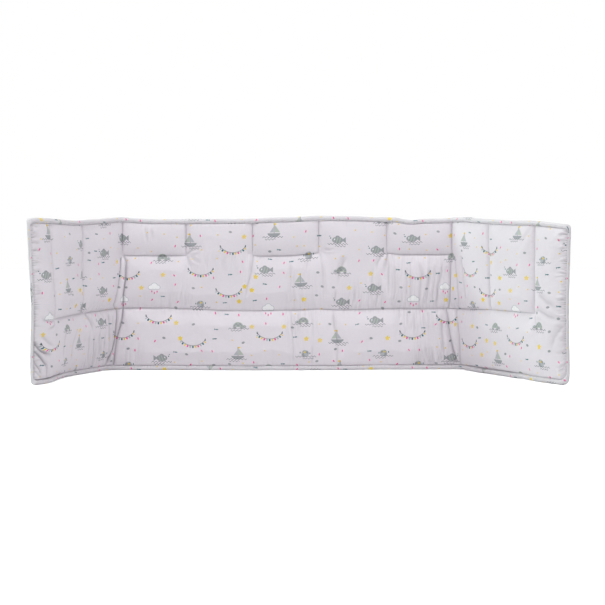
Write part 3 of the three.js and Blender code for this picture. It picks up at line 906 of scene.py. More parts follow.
# %% The back panel
BACK_COLUMN = 5.0  # the outside is smoother, so its grid is coarser
BACK_ROW = 7.5
BACK_CLOSE = (2.0, 5.5)
back_grid = panel_grid(BACK_COLUMN, BACK_ROW, BACK_CLOSE)
back_flat = swelled_panel("back_cloth", back_grid, False)
back_points = standing(pressed(back_flat[..., 0]), back_flat[..., 1], -back_flat[..., 2])
back_panel = new_mesh("back_panel", back_points, grid_faces(*back_points.shape[:2], flip=True))
keep_values(back_panel, "painted_shade", painted_shade_of(back_grid, False))
print("back panel faces:", len(back_panel.data.polygons))

# %% [markdown]
# ## The edge strip
# A strip of the same cotton is cut on its own, folded round a roll of wadding and sewn on
# all round, so it looks like a fat soft pipe. It is swept round the pad's outline from one
# half section. Where a seam or a fold runs on across it the thread draws it in, and every
# few millimetres it puckers at its own seam. A curve with a bevel would be quicker, but
# its section couldn't change along the way.

# %% The way round the pad
STATION_STEP = 3.6


def way_round():
    """Stations round the pad: s, v and the outward way of each."""
    # each corner: the way the side before it faces, its place, and the way into the pad
    corners = [
        (-90, (PAD_RIGHT, PAD_FLOOR), (-1, 1)),
        (0, (PAD_RIGHT, PAD_TOP), (-1, -1)),
        (90, (PAD_LEFT, PAD_TOP), (1, -1)),
        (180, (PAD_LEFT, PAD_FLOOR), (1, 1)),
    ]
    arcs = []
    for facing, place, inward in corners:
        radius = float(corner_radius(*place))
        arcs.append((math.radians(facing), np.array(place) + radius * np.array(inward), radius))
    stations = []
    for (_, last_centre, last_radius), (angle, centre, radius) in zip(arcs[-1:] + arcs, arcs):
        out = np.array([math.cos(angle), math.sin(angle)])
        a = last_centre + last_radius * out
        b = centre + radius * out
        count = round(math.dist(a, b) / STATION_STEP)
        for share in np.arange(count) / count:
            stations.append((*(a + (b - a) * share), *out))
        turns = round(math.pi / 2 * (radius + STRIP_REACH) / STATION_STEP)
        for k in range(turns):
            bent = angle + math.pi / 2 * k / turns
            out = np.array([math.cos(bent), math.sin(bent)])
            stations.append((*(centre + radius * out), *out))
    return np.array(stations)


stations = way_round()
ring_step = np.linalg.norm(np.roll(stations[:, :2], -1, axis=0) - stations[:, :2], axis=1)
ring_at = np.concatenate([[0], np.cumsum(ring_step)])
print("strip:", len(stations), "stations,", round(ring_at[-1]), "mm round")

# %% The strip's section and its puckers
# (out from the pad, half thickness) from the front seam to the outer edge
HALF_SECTION = np.array([
    (-0.9, 1.2), (-0.7, 4.2), (-0.1, 7.0), (1.4, 9.6), (3.8, 11.6), (6.8, 12.5), (9.6, 12.2),
    (12.3, 10.9), (14.7, 8.6), (16.3, 5.9), (17.0, 2.9), (17.0, 0.0),
])
section = np.vstack([HALF_SECTION, HALF_SECTION[-2::-1] * (1, -1)])
section_step = np.hypot(*np.diff(section, axis=0).T)
section_at = np.concatenate([[0], np.cumsum(section_step)])
ROUND_SECTION = section_at[-1]
print("strip's cloth is", round(ROUND_SECTION, 1), "mm wide")

STRIP_PITCH = 10.5
STRIP_DEPTH = 1.0
STRIP_WIDTHS = (2.6, 4.2)  # the half widths that its puckers may have
STRIP_LONG = (7.0, 24.0)  # and how far from the seam they may reach
STRIP_HEAD = (4.0, 7.0)  # from and to off the seam, where they start
STRIP_FULL = 0.2  # share of its reach at which a pucker begins to fade
STRIP_WAVES = (23, 41, 67, 97, 131, 173)  # how often each slow wave goes up and down all round
WAVE_HIGH = 0.28
WAVE_ACROSS = 3.0  # radians that a wave turns across the strip
# Painted shade on the strip: darker at its own seam and in its puckers.
SEWN_SHADE = 0.5  # how dark the strip is at its own seam
SEWN_FADE = (3.0, 8.0)  # from and to off that seam, where the dark fades


def add_strip_puckers(relief, painted_shade, across, seam):
    """Puckers all round one of the strip's two seams."""
    ring = ring_at[-1]
    from_seam = np.abs(across - seam) * ROUND_SECTION
    at = 0.0
    while at < ring:
        off = np.abs(ring_at[:-1] - at)
        x = np.minimum(off, ring - off) / dice.uniform(*STRIP_WIDTHS)
        reach = dice.uniform(*STRIP_LONG)
        fade = smooth(from_seam, *STRIP_HEAD) * (1 - smooth(from_seam, STRIP_FULL * reach, reach))
        depth = STRIP_DEPTH * dice.uniform(*PUCKER_DEEP)
        relief -= depth * trough_at(x)[:, None] * fade[None, :]
        painted_shade += depth / HOLLOW_DEPTH * np.exp(-x * x)[:, None] * fade[None, :]
        at += STRIP_PITCH * dice.uniform(*PUCKER_APART)


def strip_relief():
    """How far each point of the strip stands off its plain section, and its painted shade."""
    relief = np.zeros((len(stations), len(section)))
    painted_shade = np.zeros_like(relief)
    across = section_at / ROUND_SECTION
    for seam in (0.0, 1.0):
        add_strip_puckers(relief, painted_shade, across, seam)
    turn = ring_at[:-1, None] / ring_at[-1] * 2 * math.pi
    for cycles in STRIP_WAVES:
        phase = dice.uniform(0, 2 * math.pi, 2)
        slow = np.sin(turn * cycles + phase[0]) * np.cos(across * WAVE_ACROSS + phase[1])
        relief += WAVE_HIGH * slow * np.sin(across * math.pi)
    from_sewing = ROUND_SECTION * np.minimum(across, 1 - across)
    sewn = SEWN_SHADE * (1 - smooth(from_sewing, *SEWN_FADE))
    return relief, np.clip(np.maximum(painted_shade, sewn[None, :]), 0, 1)


# %% Where the strip is drawn in
STRIP_DRAWN = {
    # the way it faces, and the places along the bumper: seams at its top, folds at the floor
    1: np.array([s for s, _ in SEAMS["uprights"]], float),
    -1: np.array([-674, -637, 184, 639], float),
}
DRAWN_IN = 0.14  # share of its thickness that it loses there
DRAWN_REACH = 9.0
END_THINNER = 0.5  # share that it loses round the two ends


def strip_thickness():
    """Share of its full thickness that the strip has at each station."""
    left = np.ones(len(stations))
    for facing, places in STRIP_DRAWN.items():
        here = np.sign(np.round(stations[:, 3])) == facing
        nearest = np.abs(stations[:, 0][:, None] - places).min(axis=1)
        drawn = 1 - DRAWN_IN * (1 - smooth(nearest, 0, DRAWN_REACH))
        left = np.where(here, drawn, left)
    return left * (1 - END_THINNER * stations[:, 2] ** 2)


# %% The strip
SECTION_MIDDLE = (7.0, 0.0)  # relief swells the section away from this point
relief, strip_painted_shade = strip_relief()
rays = section - SECTION_MIDDLE
rays = rays / np.linalg.norm(rays, axis=1, keepdims=True)
out = SEWING_GAP + section[None, :, 0] + rays[None, :, 0] * relief
out = np.minimum(out, STRIP_REACH + SEWING_GAP)
half = (section[None, :, 1] + rays[None, :, 1] * relief) * strip_thickness()[:, None]
strip_s = stations[:, 0][:, None] + stations[:, 2][:, None] * out
strip_v = stations[:, 1][:, None] + stations[:, 3][:, None] * out
strip_points = standing(pressed(strip_s), strip_v, half)
ring_faces = grid_faces(len(stations) + 1, len(section), flip=True) % strip_painted_shade.size
edge_strip = new_mesh("edge_strip", strip_points, ring_faces)
keep_values(edge_strip, "painted_shade", strip_painted_shade)
print("strip faces:", len(edge_strip.data.polygons))

# %% [markdown]
# ## Stitches
# Each seam is a row of short straight stitches that sink into the groove. Their grey is
# partly the thread's own colour and partly painted shade for the groove. From a step away
# they only darken it, but close by they are what makes the groove a seam. One stitch is a
# thin spindle with pointed ends, and all of them are one mesh.

# %% Rows of stitches on both panels
STITCH_PITCH = 3.3
STITCH_LENGTH = 2.5
STITCH_HALF = 0.32
STITCH_SIDES = 5
STITCH_PROUD = 0.35  # how far its middle stands out of the groove, in half thicknesses
# each ring of the spindle: its place as a share of the length, and its share of the thickness
SPINDLE = [(-0.5, 0.0), (-0.2, 1.0), (0.2, 1.0), (0.5, 0.0)]


def stitch_row(ends, is_front):
    """The points of every stitch of one seam."""
    s0, v0, s1, v1 = ends
    run = math.hypot(s1 - s0, v1 - v0)
    count = int(run / STITCH_PITCH)
    middle = (np.arange(count) + 0.5) * STITCH_PITCH / run
    way = np.array([(s1 - s0) / run, (v1 - v0) / run])
    side = np.array([-way[1], way[0]])
    points = []
    for share, radius in SPINDLE:
        sides = 1 if radius == 0 else STITCH_SIDES
        for k in range(sides):
            angle = 2 * math.pi * k / STITCH_SIDES
            off = side * STITCH_HALF * radius * math.cos(angle)
            s = s0 + (s1 - s0) * middle + way[0] * share * STITCH_LENGTH + off[0]
            v = v0 + (v1 - v0) * middle + way[1] * share * STITCH_LENGTH + off[1]
            bed = pad_half(s, v, is_front)
            h = bed + STITCH_HALF * (STITCH_PROUD + radius * math.sin(angle))
            points.append(standing(s, v, h if is_front else -h))
    return np.stack(points, axis=1)


def stitch_faces():
    """The faces of one spindle: a point, two rings and a point."""
    n = STITCH_SIDES
    first = list(range(1, n + 1))
    second = list(range(n + 1, 2 * n + 1))
    faces = []
    for k in range(n):
        after = (k + 1) % n
        faces.append((0, first[after], first[k]))
        faces.append((first[k], first[after], second[after], second[k]))
        faces.append((second[k], second[after], 2 * n + 1))
    return faces


# %% The stitches
rows = [stitch_row(ends, is_front) for is_front in (True, False) for ends in SEAM_ENDS]
stitch_points = np.concatenate(rows)
each = stitch_points.shape[1]
spindle = stitch_faces()
faces = [tuple(k * each + i for i in face) for k in range(len(stitch_points)) for face in spindle]
stitch_mesh = bpy.data.meshes.new("stitches")
stitch_mesh.from_pydata(stitch_points.reshape(-1, 3).tolist(), [], faces)
stitch_mesh.shade_smooth()
stitches = bpy.data.objects.new("stitches", stitch_mesh)
scene.collection.objects.link(stitches)
print("stitches:", len(stitch_points))

# %% [markdown]
# ## Maps
# The print is laid on the flat cloth, before it is sewn, so each point's map place is its
# place on the pattern in metres. That map is called "cloth". A second map, "OFBake", packs
# the same faces into one square for anyone who bakes the finish into a picture: the long
# panel is cut in two halves that lie one above the other, and the strip into rows.

# %% Writing the maps
MAP_MARGIN = 0.004  # share of the map left empty round each stretch


def write_map(thing, name, places):
    layer = thing.data.uv_layers.new(name=name)
    layer.data.foreach_set("uv", np.ascontiguousarray(places, dtype=np.float32).ravel())


def loop_vertices(thing):
    mesh = thing.data
    out = np.empty(len(mesh.loops), int)
    mesh.loops.foreach_get("vertex_index", out)
    return out


# %% The panels' maps
def map_panel(thing, grid, cloth_place):
    loops = loop_vertices(thing)
    s = grid.flat_s.ravel()[loops]
    v = grid.flat_v.ravel()[loops]
    write_map(thing, "cloth", np.stack(cloth_place(s * MM, v * MM), axis=-1))
    column = loops // len(grid.v)
    halfway = len(grid.s) // 2
    quad_column = np.repeat(column.reshape(-1, 4).min(axis=1), 4)
    second = quad_column >= halfway
    split = grid.s[halfway]
    width = max(split - PAD_LEFT, PAD_RIGHT - split)
    across = np.where(second, s - split, s - PAD_LEFT) / width
    up = (v - PAD_FLOOR) / (PAD_TOP - PAD_FLOOR)
    map_x = MAP_MARGIN + (1 - 2 * MAP_MARGIN) * across
    map_y = 0.5 * second + MAP_MARGIN + (0.5 - 2 * MAP_MARGIN) * up
    write_map(thing, "OFBake", np.stack([map_x, map_y], axis=-1))


BACK_PRINT = (3.17, 0.93)  # metres to the other stretch of cloth that the back is cut from
map_panel(front_panel, front_grid, lambda s, v: (s, v))
map_panel(back_panel, back_grid, lambda s, v: (BACK_PRINT[0] - s, v + BACK_PRINT[1]))

# %% The strip's maps
STRIP_PRINT = (5.4, 2.21)  # where on the printed cloth the strip is cut
STRIP_ROWS = 9  # rows that the strip is packed in
ROW_MARGIN = 0.04  # share of a row left empty above and below it


def map_strip(thing):
    loops = loop_vertices(thing)
    around = len(section)
    station = loops // around
    quad_station = station.reshape(-1, 4)
    closing = (quad_station.max(axis=1) - quad_station.min(axis=1)) > 1
    station = np.where(np.repeat(closing, 4) & (station == 0), len(stations), station)
    along_mm = ring_at[station]
    across_mm = section_at[loops % around]
    cloth = np.stack([along_mm * MM + STRIP_PRINT[0], across_mm * MM + STRIP_PRINT[1]], axis=-1)
    write_map(thing, "cloth", cloth)
    row_length = ring_at[-1] / STRIP_ROWS
    start = np.repeat(along_mm.reshape(-1, 4).min(axis=1), 4)
    row = np.clip((start / row_length).astype(int), 0, STRIP_ROWS - 1)
    longest = row_length + 2 * STATION_STEP
    map_x = MAP_MARGIN + (1 - 2 * MAP_MARGIN) * (along_mm - row * row_length) / longest
    map_y = (row + ROW_MARGIN + (1 - 2 * ROW_MARGIN) * across_mm / ROUND_SECTION) / STRIP_ROWS
    write_map(thing, "OFBake", np.stack([map_x, map_y], axis=-1))


map_strip(edge_strip)
for thing in (front_panel, back_panel, edge_strip):
    thing.data.uv_layers.active = thing.data.uv_layers["cloth"]
    thing.data.uv_layers["cloth"].active_render = True
print("maps on the front panel:", [layer.name for layer in front_panel.data.uv_layers])

# %% [markdown]
# ## The nursery print
# The cotton is pale lilac grey with a small print: grey fish, turtles and sailing boats
# on thin waves, striped balls, garlands of coloured beads, clouds with rain, and a scatter
# of stars, drops and dashes. A print is a repeat, so it is drawn in cells: the cloth is cut
# into a half-drop lattice, each cell picks its figure by chance, and a figure is a few
# shapes, each written as a distance from its edge. The sums become math nodes, so a small
# class writes the nodes from plain arithmetic. Painting it on an image would be easier, but
# a formula stays sharp at any distance and needs no file.

# %% Arithmetic that writes math nodes
class Term:
    """A number that changes over the cloth. Sums on it add math nodes to its tree."""

    def __init__(self, tree, socket):
        self.tree = tree
        self.socket = socket

    def node(self, operation, *values):
        """One math node on these values, each a Term or a plain number."""
        made = self.tree.nodes.new("ShaderNodeMath")
        made.operation = operation
        for socket, value in zip(made.inputs, values):
            if isinstance(value, Term):
                self.tree.links.new(value.socket, socket)
            else:
                socket.default_value = float(value)
        return Term(self.tree, made.outputs[0])

    def __add__(self, other):
        return self.node("ADD", self, other)

    def __sub__(self, other):
        return self.node("SUBTRACT", self, other)

    def __rsub__(self, other):
        return self.node("SUBTRACT", other, self)

    def __mul__(self, other):
        return self.node("MULTIPLY", self, other)

    def __truediv__(self, other):
        return self.node("DIVIDE", self, other)

    __radd__ = __add__

    def over(self, other):
        return self.node("GREATER_THAN", self, other)

    def size(self):
        return self.node("ABSOLUTE", self)

    def floor(self):
        return self.node("FLOOR", self)

    def wrap(self, other):
        return self.node("FLOORED_MODULO", self, other)

    def sine(self):
        return self.node("SINE", self)

    def cosine(self):
        return self.node("COSINE", self)

    def cut(self):
        """The same number, cut off below 0 and above 1."""
        made = self.node("MULTIPLY", self, 1)
        made.socket.node.use_clamp = True
        return made


def most(*terms):
    out = terms[0]
    for term in terms[1:]:
        out = out.node("MAXIMUM", out, term)
    return out


def least(*terms):
    out = terms[0]
    for term in terms[1:]:
        out = out.node("MINIMUM", out, term)
    return out


def hypotenuse(x, y):
    return x.node("SQRT", x * x + y * y)


def between(value, low, high):
    """1 where the value is over low and not over high, and else 0."""
    return value.over(low) - value.over(high)


# %% Shapes, each as a distance in millimetres that is less than 0 inside
def disc(x, y, across, up, radius):
    return hypotenuse(x - across, y - up) - radius


def oval(x, y, across, up):
    return (hypotenuse(x / across, y / up) - 1) * min(across, up)


def wave(x, y, reach, swell_height, pitch, thick):
    line = (y - (x * (2 * math.pi / pitch)).sine() * swell_height).size() - thick / 2
    return most(line, x.size() - reach)


INK_EDGE = 0.8  # over how many millimetres an inked edge fades


def inked(distance):
    """1 inside a shape and 0 outside it."""
    return (0.5 - distance / INK_EDGE).cut()


# %% Helpers for node groups
def new_group(name, inputs, outputs):
    """An empty node group with named sockets, and its entry and its way out."""
    tree = bpy.data.node_groups.new(name, "ShaderNodeTree")
    for label, kind, default in inputs:
        socket = tree.interface.new_socket(name=label, in_out="INPUT", socket_type=kind)
        if default is not None:
            socket.default_value = default
    for label, kind in outputs:
        tree.interface.new_socket(name=label, in_out="OUTPUT", socket_type=kind)
    entry = tree.nodes.new("NodeGroupInput")
    leave = tree.nodes.new("NodeGroupOutput")
    return tree, entry, leave


def linear(hex_colour):
    """The linear colour of a hex value, by sRGB's own curve, as nodes want it."""
    parts = [int(hex_colour[k : k + 2], 16) / 255 for k in (1, 3, 5)]
    return [p / 12.92 if p <= 0.04045 else ((p + 0.055) / 1.055) ** 2.4 for p in parts] + [1.0]


def paint(tree, under, mask, colour):
    """Colour over what is under it, where the mask is 1."""
    mix = tree.nodes.new("ShaderNodeMix")
    mix.data_type = "RGBA"
    tree.links.new(mask.socket, mix.inputs["Factor"])
    tree.links.new(under, mix.inputs["A"])
    if isinstance(colour, str):
        mix.inputs["B"].default_value = linear(colour)
    else:
        tree.links.new(colour, mix.inputs["B"])
    return mix.outputs["Result"]


def noise(tree, vector, scale, detail=2.0):
    made = tree.nodes.new("ShaderNodeTexNoise")
    made.inputs["Scale"].default_value = scale
    made.inputs["Detail"].default_value = detail
    tree.links.new(vector, made.inputs["Vector"])
    return Term(tree, made.outputs["Fac"])


def dice_at(tree, column, row, seed):
    """Three numbers drawn for a cell, the same each time."""
    key = tree.nodes.new("ShaderNodeCombineXYZ")
    tree.links.new(column.socket, key.inputs["X"])
    tree.links.new(row.socket, key.inputs["Y"])
    key.inputs["Z"].default_value = seed
    white = tree.nodes.new("ShaderNodeTexWhiteNoise")
    white.noise_dimensions = "3D"
    tree.links.new(key.outputs["Vector"], white.inputs["Vector"])
    split = tree.nodes.new("ShaderNodeSeparateColor")
    tree.links.new(white.outputs["Color"], split.inputs["Color"])
    return [Term(tree, split.outputs[k]) for k in range(3)]


# %% The lattice that the large figures stand on
FIGURE_CELL = (132.0, 122.0)
FIGURE_REPEAT = (8, 7)  # cells until the print comes round again
FIGURE_JITTER = 21.0  # how far a figure may stand from the middle of its cell
FIGURE_SEED = 3.0


def figure_cell(tree, x, y):
    """Where (x, y) lies in its cell, from the figure's middle, and the cell's draws."""
    width, height = FIGURE_CELL
    column = (x / width).floor()
    dropped = y + column.wrap(2) * (height / 2)
    row = (dropped / height).floor()
    key = (column.wrap(FIGURE_REPEAT[0]), row.wrap(FIGURE_REPEAT[1]))
    kind, across, up = dice_at(tree, *key, FIGURE_SEED)
    local_x = x - (column + 0.5) * width - (across - 0.5) * (2 * FIGURE_JITTER)
    local_y = dropped - (row + 0.5) * height - (up - 0.5) * (2 * FIGURE_JITTER)
    return local_x, local_y, kind, across


# %% The large figures
# In a figure x and y are millimetres from its middle. A cut is a slope added to a shape
# with most(), and two shapes are joined with least().
INKS = {
    "grey": "#9fa2a7", "sage": "#bac1b9", "dark": "#58606a", "teal": "#2f6f78",
    "yellow": "#f3d54c", "pink": "#f0569f", "white": "#f9f8fb", "pale": "#bcbfc6",
}


def waves_below(x, y, line):
    """Two rows of small waves, the upper one long."""
    upper = wave(x, y - line, 37, 2.0, 11.5, 1.7)
    lower = wave(x + 9, y - line + 7.5, 19, 2.0, 11.5, 1.6)
    return least(upper, lower)


def boat(x, y):
    hull = most(oval(x, y + 3, 23, 13), y + 3)
    big_sail = most(3 - x, 0 - y, ((x - 3) / 19 + y / 27 - 1) * 14)
    small_sail = most(x + 1, 0 - y, (y / 20 - (x + 1) / 14 - 1) * 10)
    mast = most((x - 1).size() - 0.8, (y - 14).size() - 17)
    flag = most(1.5 - x, ((y - 28.5).size() - (12.5 - x) * 0.36) * 0.9)
    return [
        (big_sail, "sage"), (small_sail, "pale"), (hull, "grey"),
        (least(mast, waves_below(x + 4, y, -16)), "dark"), (flag, "yellow"),
    ]


def fish(x, y):
    body = oval(x - 1, y, 20, 12)
    tail = most((y.size() - (x + 14) * -0.72) * 0.8, -29 - x, x + 14)
    fin = oval(x - 1, y - 12, 7, 4)
    stripes = most(body + 2, 0.45 - (x * 0.6 + y * 0.2).sine())
    eye = disc(x, y, 12, 2.5, 2.2)
    bubbles = least(disc(x, y, 26, 7, 2.2), disc(x, y, 29, 14, 1.6))
    return [
        (least(body, tail, fin), "grey"), (stripes, "sage"), (eye, "white"),
        (waves_below(x, y, -14), "dark"), (bubbles, "teal"),
    ]


def turtle(x, y):
    shell = most(oval(x, y + 5, 19, 19), -5 - y)
    plates = most(shell + 2.2, 0.35 - ((x * 0.42).cosine() + (y * 0.42).cosine()).size())
    head = oval(x - 22, y + 3, 6.5, 5)
    feet = least(oval(x - 12, y + 7, 5, 4), oval(x + 12, y + 7, 5, 4))
    eye = disc(x, y, 24, -2, 1.2)
    return [
        (least(head, feet), "grey"), (shell, "sage"), (plates, "grey"), (eye, "white"),
        (waves_below(x - 2, y, -11), "dark"),
    ]


def ball(x, y):
    round_ball = disc(x, y, 0, 0, 13)
    segments = most(round_ball, 0.2 - (x.node("ARCTAN2", x - 2, y - 5) * 3).sine())
    cap = disc(x, y, 2, 5, 3.4)
    splash = least(oval(x - 18, y - 4, 1.6, 3.4), oval(x + 17, y - 1, 1.6, 3.4))
    return [
        (round_ball, "pale"), (segments, "grey"), (cap, "yellow"),
        (waves_below(x + 2, y, -11), "dark"), (splash, "teal"),
    ]


def cloud(x, y):
    puffs = least(disc(x, y, -11, 4, 9), disc(x, y, 1, 9, 12), disc(x, y, 14, 4, 9))
    body = most(puffs, -3 - y)
    rim = most(body.size() - 0.8, -4 - y)
    rain = least(oval(x + 9, y + 12, 2, 4), oval(x - 1, y + 17, 2, 4), oval(x - 10, y + 11, 2, 4))
    return [(body, "white"), (rim, "pale"), (rain, "pink")]


# %% The garland, whose beads change colour one after another
GARLAND_RADIUS = 58.0
GARLAND_HALF = 0.88  # radians from its middle to each end
GARLAND_CENTRE = 44.0  # how far above the figure's middle its arc has its centre
THREAD_HALF = 0.75
BEAD_TURN = 0.16  # radians from bead to bead
BEAD = (2.9, 4.2)  # half width and half height
BEAD_DROP = 4.6  # how far a bead's middle hangs below the thread
BEAD_ENDS = 0.06  # radians at each end that have no bead
BEAD_INKS = ("teal", "yellow", "pink", "pale")


def garland(tree, x, y, under, present):
    from_centre = y - GARLAND_CENTRE
    ring = hypotenuse(x, from_centre)
    turn = x.node("ARCTAN2", x, 0 - from_centre)
    reach = turn.size() - GARLAND_HALF
    thread = most((ring - GARLAND_RADIUS).size() - THREAD_HALF, reach * GARLAND_RADIUS)
    number = (turn / BEAD_TURN + 0.5).floor()
    beside = (turn - number * BEAD_TURN) * GARLAND_RADIUS
    below = ring - (GARLAND_RADIUS + BEAD_DROP)
    bead = most(oval(beside, below, *BEAD), (reach + BEAD_ENDS) * GARLAND_RADIUS)
    knot_x = GARLAND_RADIUS * math.sin(GARLAND_HALF)
    knot_y = GARLAND_CENTRE - GARLAND_RADIUS * math.cos(GARLAND_HALF)
    knot = disc(x.size(), y, knot_x, knot_y, 2.6)
    loose_end = disc(x.size(), y, knot_x + 1, knot_y + 4, 1.8)
    knots = least(knot, loose_end)
    under = paint(tree, under, inked(least(thread, knots)) * present, INKS["dark"])
    order = number.wrap(len(BEAD_INKS))
    for place, name in enumerate(BEAD_INKS):
        mine = between(order, place - 0.5, place + 0.5)
        under = paint(tree, under, inked(bead) * present * mine, INKS[name])
    return under


# %% The print as one node group
PANEL_GROUND = "#eae3eb"
PENCIL_GRAIN = 320.0  # the greys are drawn with a soft pencil: its grain to the metre,
PENCIL_LEAST = 0.74  # the weight of its palest grain,
PENCIL_RANGE = 0.42  # and how much heavier the darkest is
# each figure, and from and to of the draw that picks it. The garland takes what is left
FIGURES = [
    (boat, 0.0, 0.17),
    (fish, 0.17, 0.37),
    (turtle, 0.37, 0.53),
    (ball, 0.53, 0.66),
    (cloud, 0.66, 0.74),
]
GARLAND_FROM = 0.74
DRAW_EDGE = 1e-4  # makes room for a draw of exactly 0

print_tree, print_in, print_out = new_group(
    "nursery_print",
    [("Cloth", "NodeSocketVector", None), ("Ground", "NodeSocketColor", linear(PANEL_GROUND))],
    [("Color", "NodeSocketColor"), ("Ink", "NodeSocketFloat")],
)
parts = print_tree.nodes.new("ShaderNodeSeparateXYZ")
print_tree.links.new(print_in.outputs["Cloth"], parts.inputs["Vector"])
place_x = Term(print_tree, parts.outputs["X"]) / MM
place_y = Term(print_tree, parts.outputs["Y"]) / MM
grain = noise(print_tree, print_in.outputs["Cloth"], PENCIL_GRAIN)
pencil = (PENCIL_LEAST + grain * PENCIL_RANGE).cut()

fig_x, fig_y, fig_kind, fig_flip = figure_cell(print_tree, place_x, place_y)
facing = fig_flip.over(0.5) * 2 - 1
turned_x = fig_x * facing
colour = print_in.outputs["Ground"]
for draw_figure, low, high in FIGURES:
    present = between(fig_kind, low - DRAW_EDGE, high)
    for distance, name in draw_figure(turned_x, fig_y):
        strength = present * pencil if name in ("grey", "sage", "dark") else present
        colour = paint(print_tree, colour, inked(distance) * strength, INKS[name])
colour = garland(print_tree, fig_x, fig_y, colour, fig_kind.over(GARLAND_FROM))

# %% Where the small marks between the figures stand
SMALL_CELL = 47.0
SMALL_REPEAT = (16, 13)  # cells until the scatter comes round again
SMALL_MARGIN = 0.22  # share of a cell at each side that its mark keeps out of
SMALL_SEEDS = (17.0, 29.0)
FIGURE_SPACE = (46.0, 33.0)  # half width and half height that a figure keeps to itself

small_column = (place_x / SMALL_CELL).floor()
small_row = (place_y / SMALL_CELL).floor()
keys = (small_column.wrap(SMALL_REPEAT[0]), small_row.wrap(SMALL_REPEAT[1]))
mark_kind, mark_across, mark_up = dice_at(print_tree, *keys, SMALL_SEEDS[0])
mark_turn, mark_weight, _ = dice_at(print_tree, *keys, SMALL_SEEDS[1])
free = 1 - 2 * SMALL_MARGIN
middle_x = (small_column + SMALL_MARGIN + mark_across * free) * SMALL_CELL
middle_y = (small_row + SMALL_MARGIN + mark_up * free) * SMALL_CELL
clear_x, clear_y, _, _ = figure_cell(print_tree, middle_x, middle_y)
clear = oval(clear_x, clear_y, *FIGURE_SPACE).over(0)
off_x = place_x - middle_x
off_y = place_y - middle_y

# %% The small marks: stars, dots, drops, tiny fish and pebbles
# from and to of the draw, half width, half height, how far it may turn in radians, and the ink
MARKS = [
    (0.00, 0.10, 7.5, 7.5, 0.0, "yellow"),
    (0.10, 0.36, 2.6, 2.6, 0.0, "yellow"),
    (0.36, 0.56, 2.3, 4.8, 1.6, "pink"),
    (0.56, 0.78, 5.6, 2.2, 0.5, "teal"),
    (0.78, 0.92, 6.0, 4.0, 0.9, "grey"),
]
STAR_POINTS = 5
STAR_DEPTH = 0.22  # how far its points stand out, as a share of its half width
MARK_PALEST = 0.75  # weight of the palest mark
for low, high, across, up, swing, name in MARKS:
    angle = (mark_turn - 0.5) * swing
    cos_turn = angle.cosine()
    sin_turn = angle.sine()
    x = off_x * cos_turn + off_y * sin_turn
    y = off_y * cos_turn - off_x * sin_turn
    shape = oval(x, y, across, up)
    if across == up:
        points_of_star = (x.node("ARCTAN2", x, y) * STAR_POINTS).cosine()
        shape = shape - points_of_star * (STAR_DEPTH * across)
    if name == "teal":
        tail = most((y.size() - (x + 4.0) * -0.6) * 0.85, -9.5 - x)
        shape = least(shape, tail)
    mask = inked(shape) * between(mark_kind, low - DRAW_EDGE, high) * clear
    weight = MARK_PALEST + mark_weight * (1 - MARK_PALEST)
    colour = paint(print_tree, colour, mask * weight, INKS[name])
print_tree.links.new(colour, print_out.inputs["Color"])

# %% Where there is ink: wherever the colour is away from the ground
INK_GAIN = 2.5  # the larger, the paler the ink that counts in full
apart = print_tree.nodes.new("ShaderNodeVectorMath")
apart.operation = "DISTANCE"
print_tree.links.new(colour, apart.inputs[0])
print_tree.links.new(print_in.outputs["Ground"], apart.inputs[1])
ink_mask = (Term(print_tree, apart.outputs["Value"]) * INK_GAIN).cut()
print_tree.links.new(ink_mask.socket, print_out.inputs["Ink"])
print("print nodes:", len(print_tree.nodes))

# %% [markdown]
# ## Weave and washing
# Close by, the cotton is a plain weave of fine threads, and washing has left it faintly
# crumpled between the threads and the wrinkles. Both show as tiny differences of height, so
# they are one group that both finishes use, with a height for the bump and a shade: painted
# shade that darkens the crumple's hollows, with the slubs' own tone on top.

# %% The weave as one node group
THREADS = 1300.0  # threads to the metre
CRUMPLE = SimpleNamespace(to_the_metre=95.0, detail=4.0, high=1.0, shade=0.05)
# thicker places in the weft are long and thin: few to the metre along it, many across
SLUB = SimpleNamespace(to_the_metre=(30.0, 900.0, 1.0), detail=1.0, high=0.12, shade=0.02)
THREAD_HIGH = 0.12
# Painted shade of the deepest crumple; the slubs add their own tone to it.
HOLLOW_SHADE = 0.965  # shade of the deepest crumple

weave_tree, weave_in, weave_out = new_group(
    "washed_cotton",
    [("Cloth", "NodeSocketVector", None), ("Threads", "NodeSocketFloat", THREADS)],
    [("Height", "NodeSocketFloat"), ("Shade", "NodeSocketFloat")],
)
weave_parts = weave_tree.nodes.new("ShaderNodeSeparateXYZ")
weave_tree.links.new(weave_in.outputs["Cloth"], weave_parts.inputs["Vector"])
threads = Term(weave_tree, weave_in.outputs["Threads"])
warp = (Term(weave_tree, weave_parts.outputs["X"]) * threads * math.pi).sine()
weft = (Term(weave_tree, weave_parts.outputs["Y"]) * threads * math.pi).sine()
crumple = noise(weave_tree, weave_in.outputs["Cloth"], CRUMPLE.to_the_metre, CRUMPLE.detail)
slub_map = weave_tree.nodes.new("ShaderNodeMapping")
slub_map.inputs["Scale"].default_value = SLUB.to_the_metre
weave_tree.links.new(weave_in.outputs["Cloth"], slub_map.inputs["Vector"])
slub = noise(weave_tree, slub_map.outputs["Vector"], 1.0, SLUB.detail)
cloth_height = warp * weft * THREAD_HIGH + crumple * CRUMPLE.high + slub * SLUB.high
weave_tree.links.new(cloth_height.socket, weave_out.inputs["Height"])
cloth_shade = HOLLOW_SHADE + crumple * CRUMPLE.shade + (slub - 0.5) * SLUB.shade
weave_tree.links.new(cloth_shade.socket, weave_out.inputs["Shade"])
print("weave nodes:", len(weave_tree.nodes))
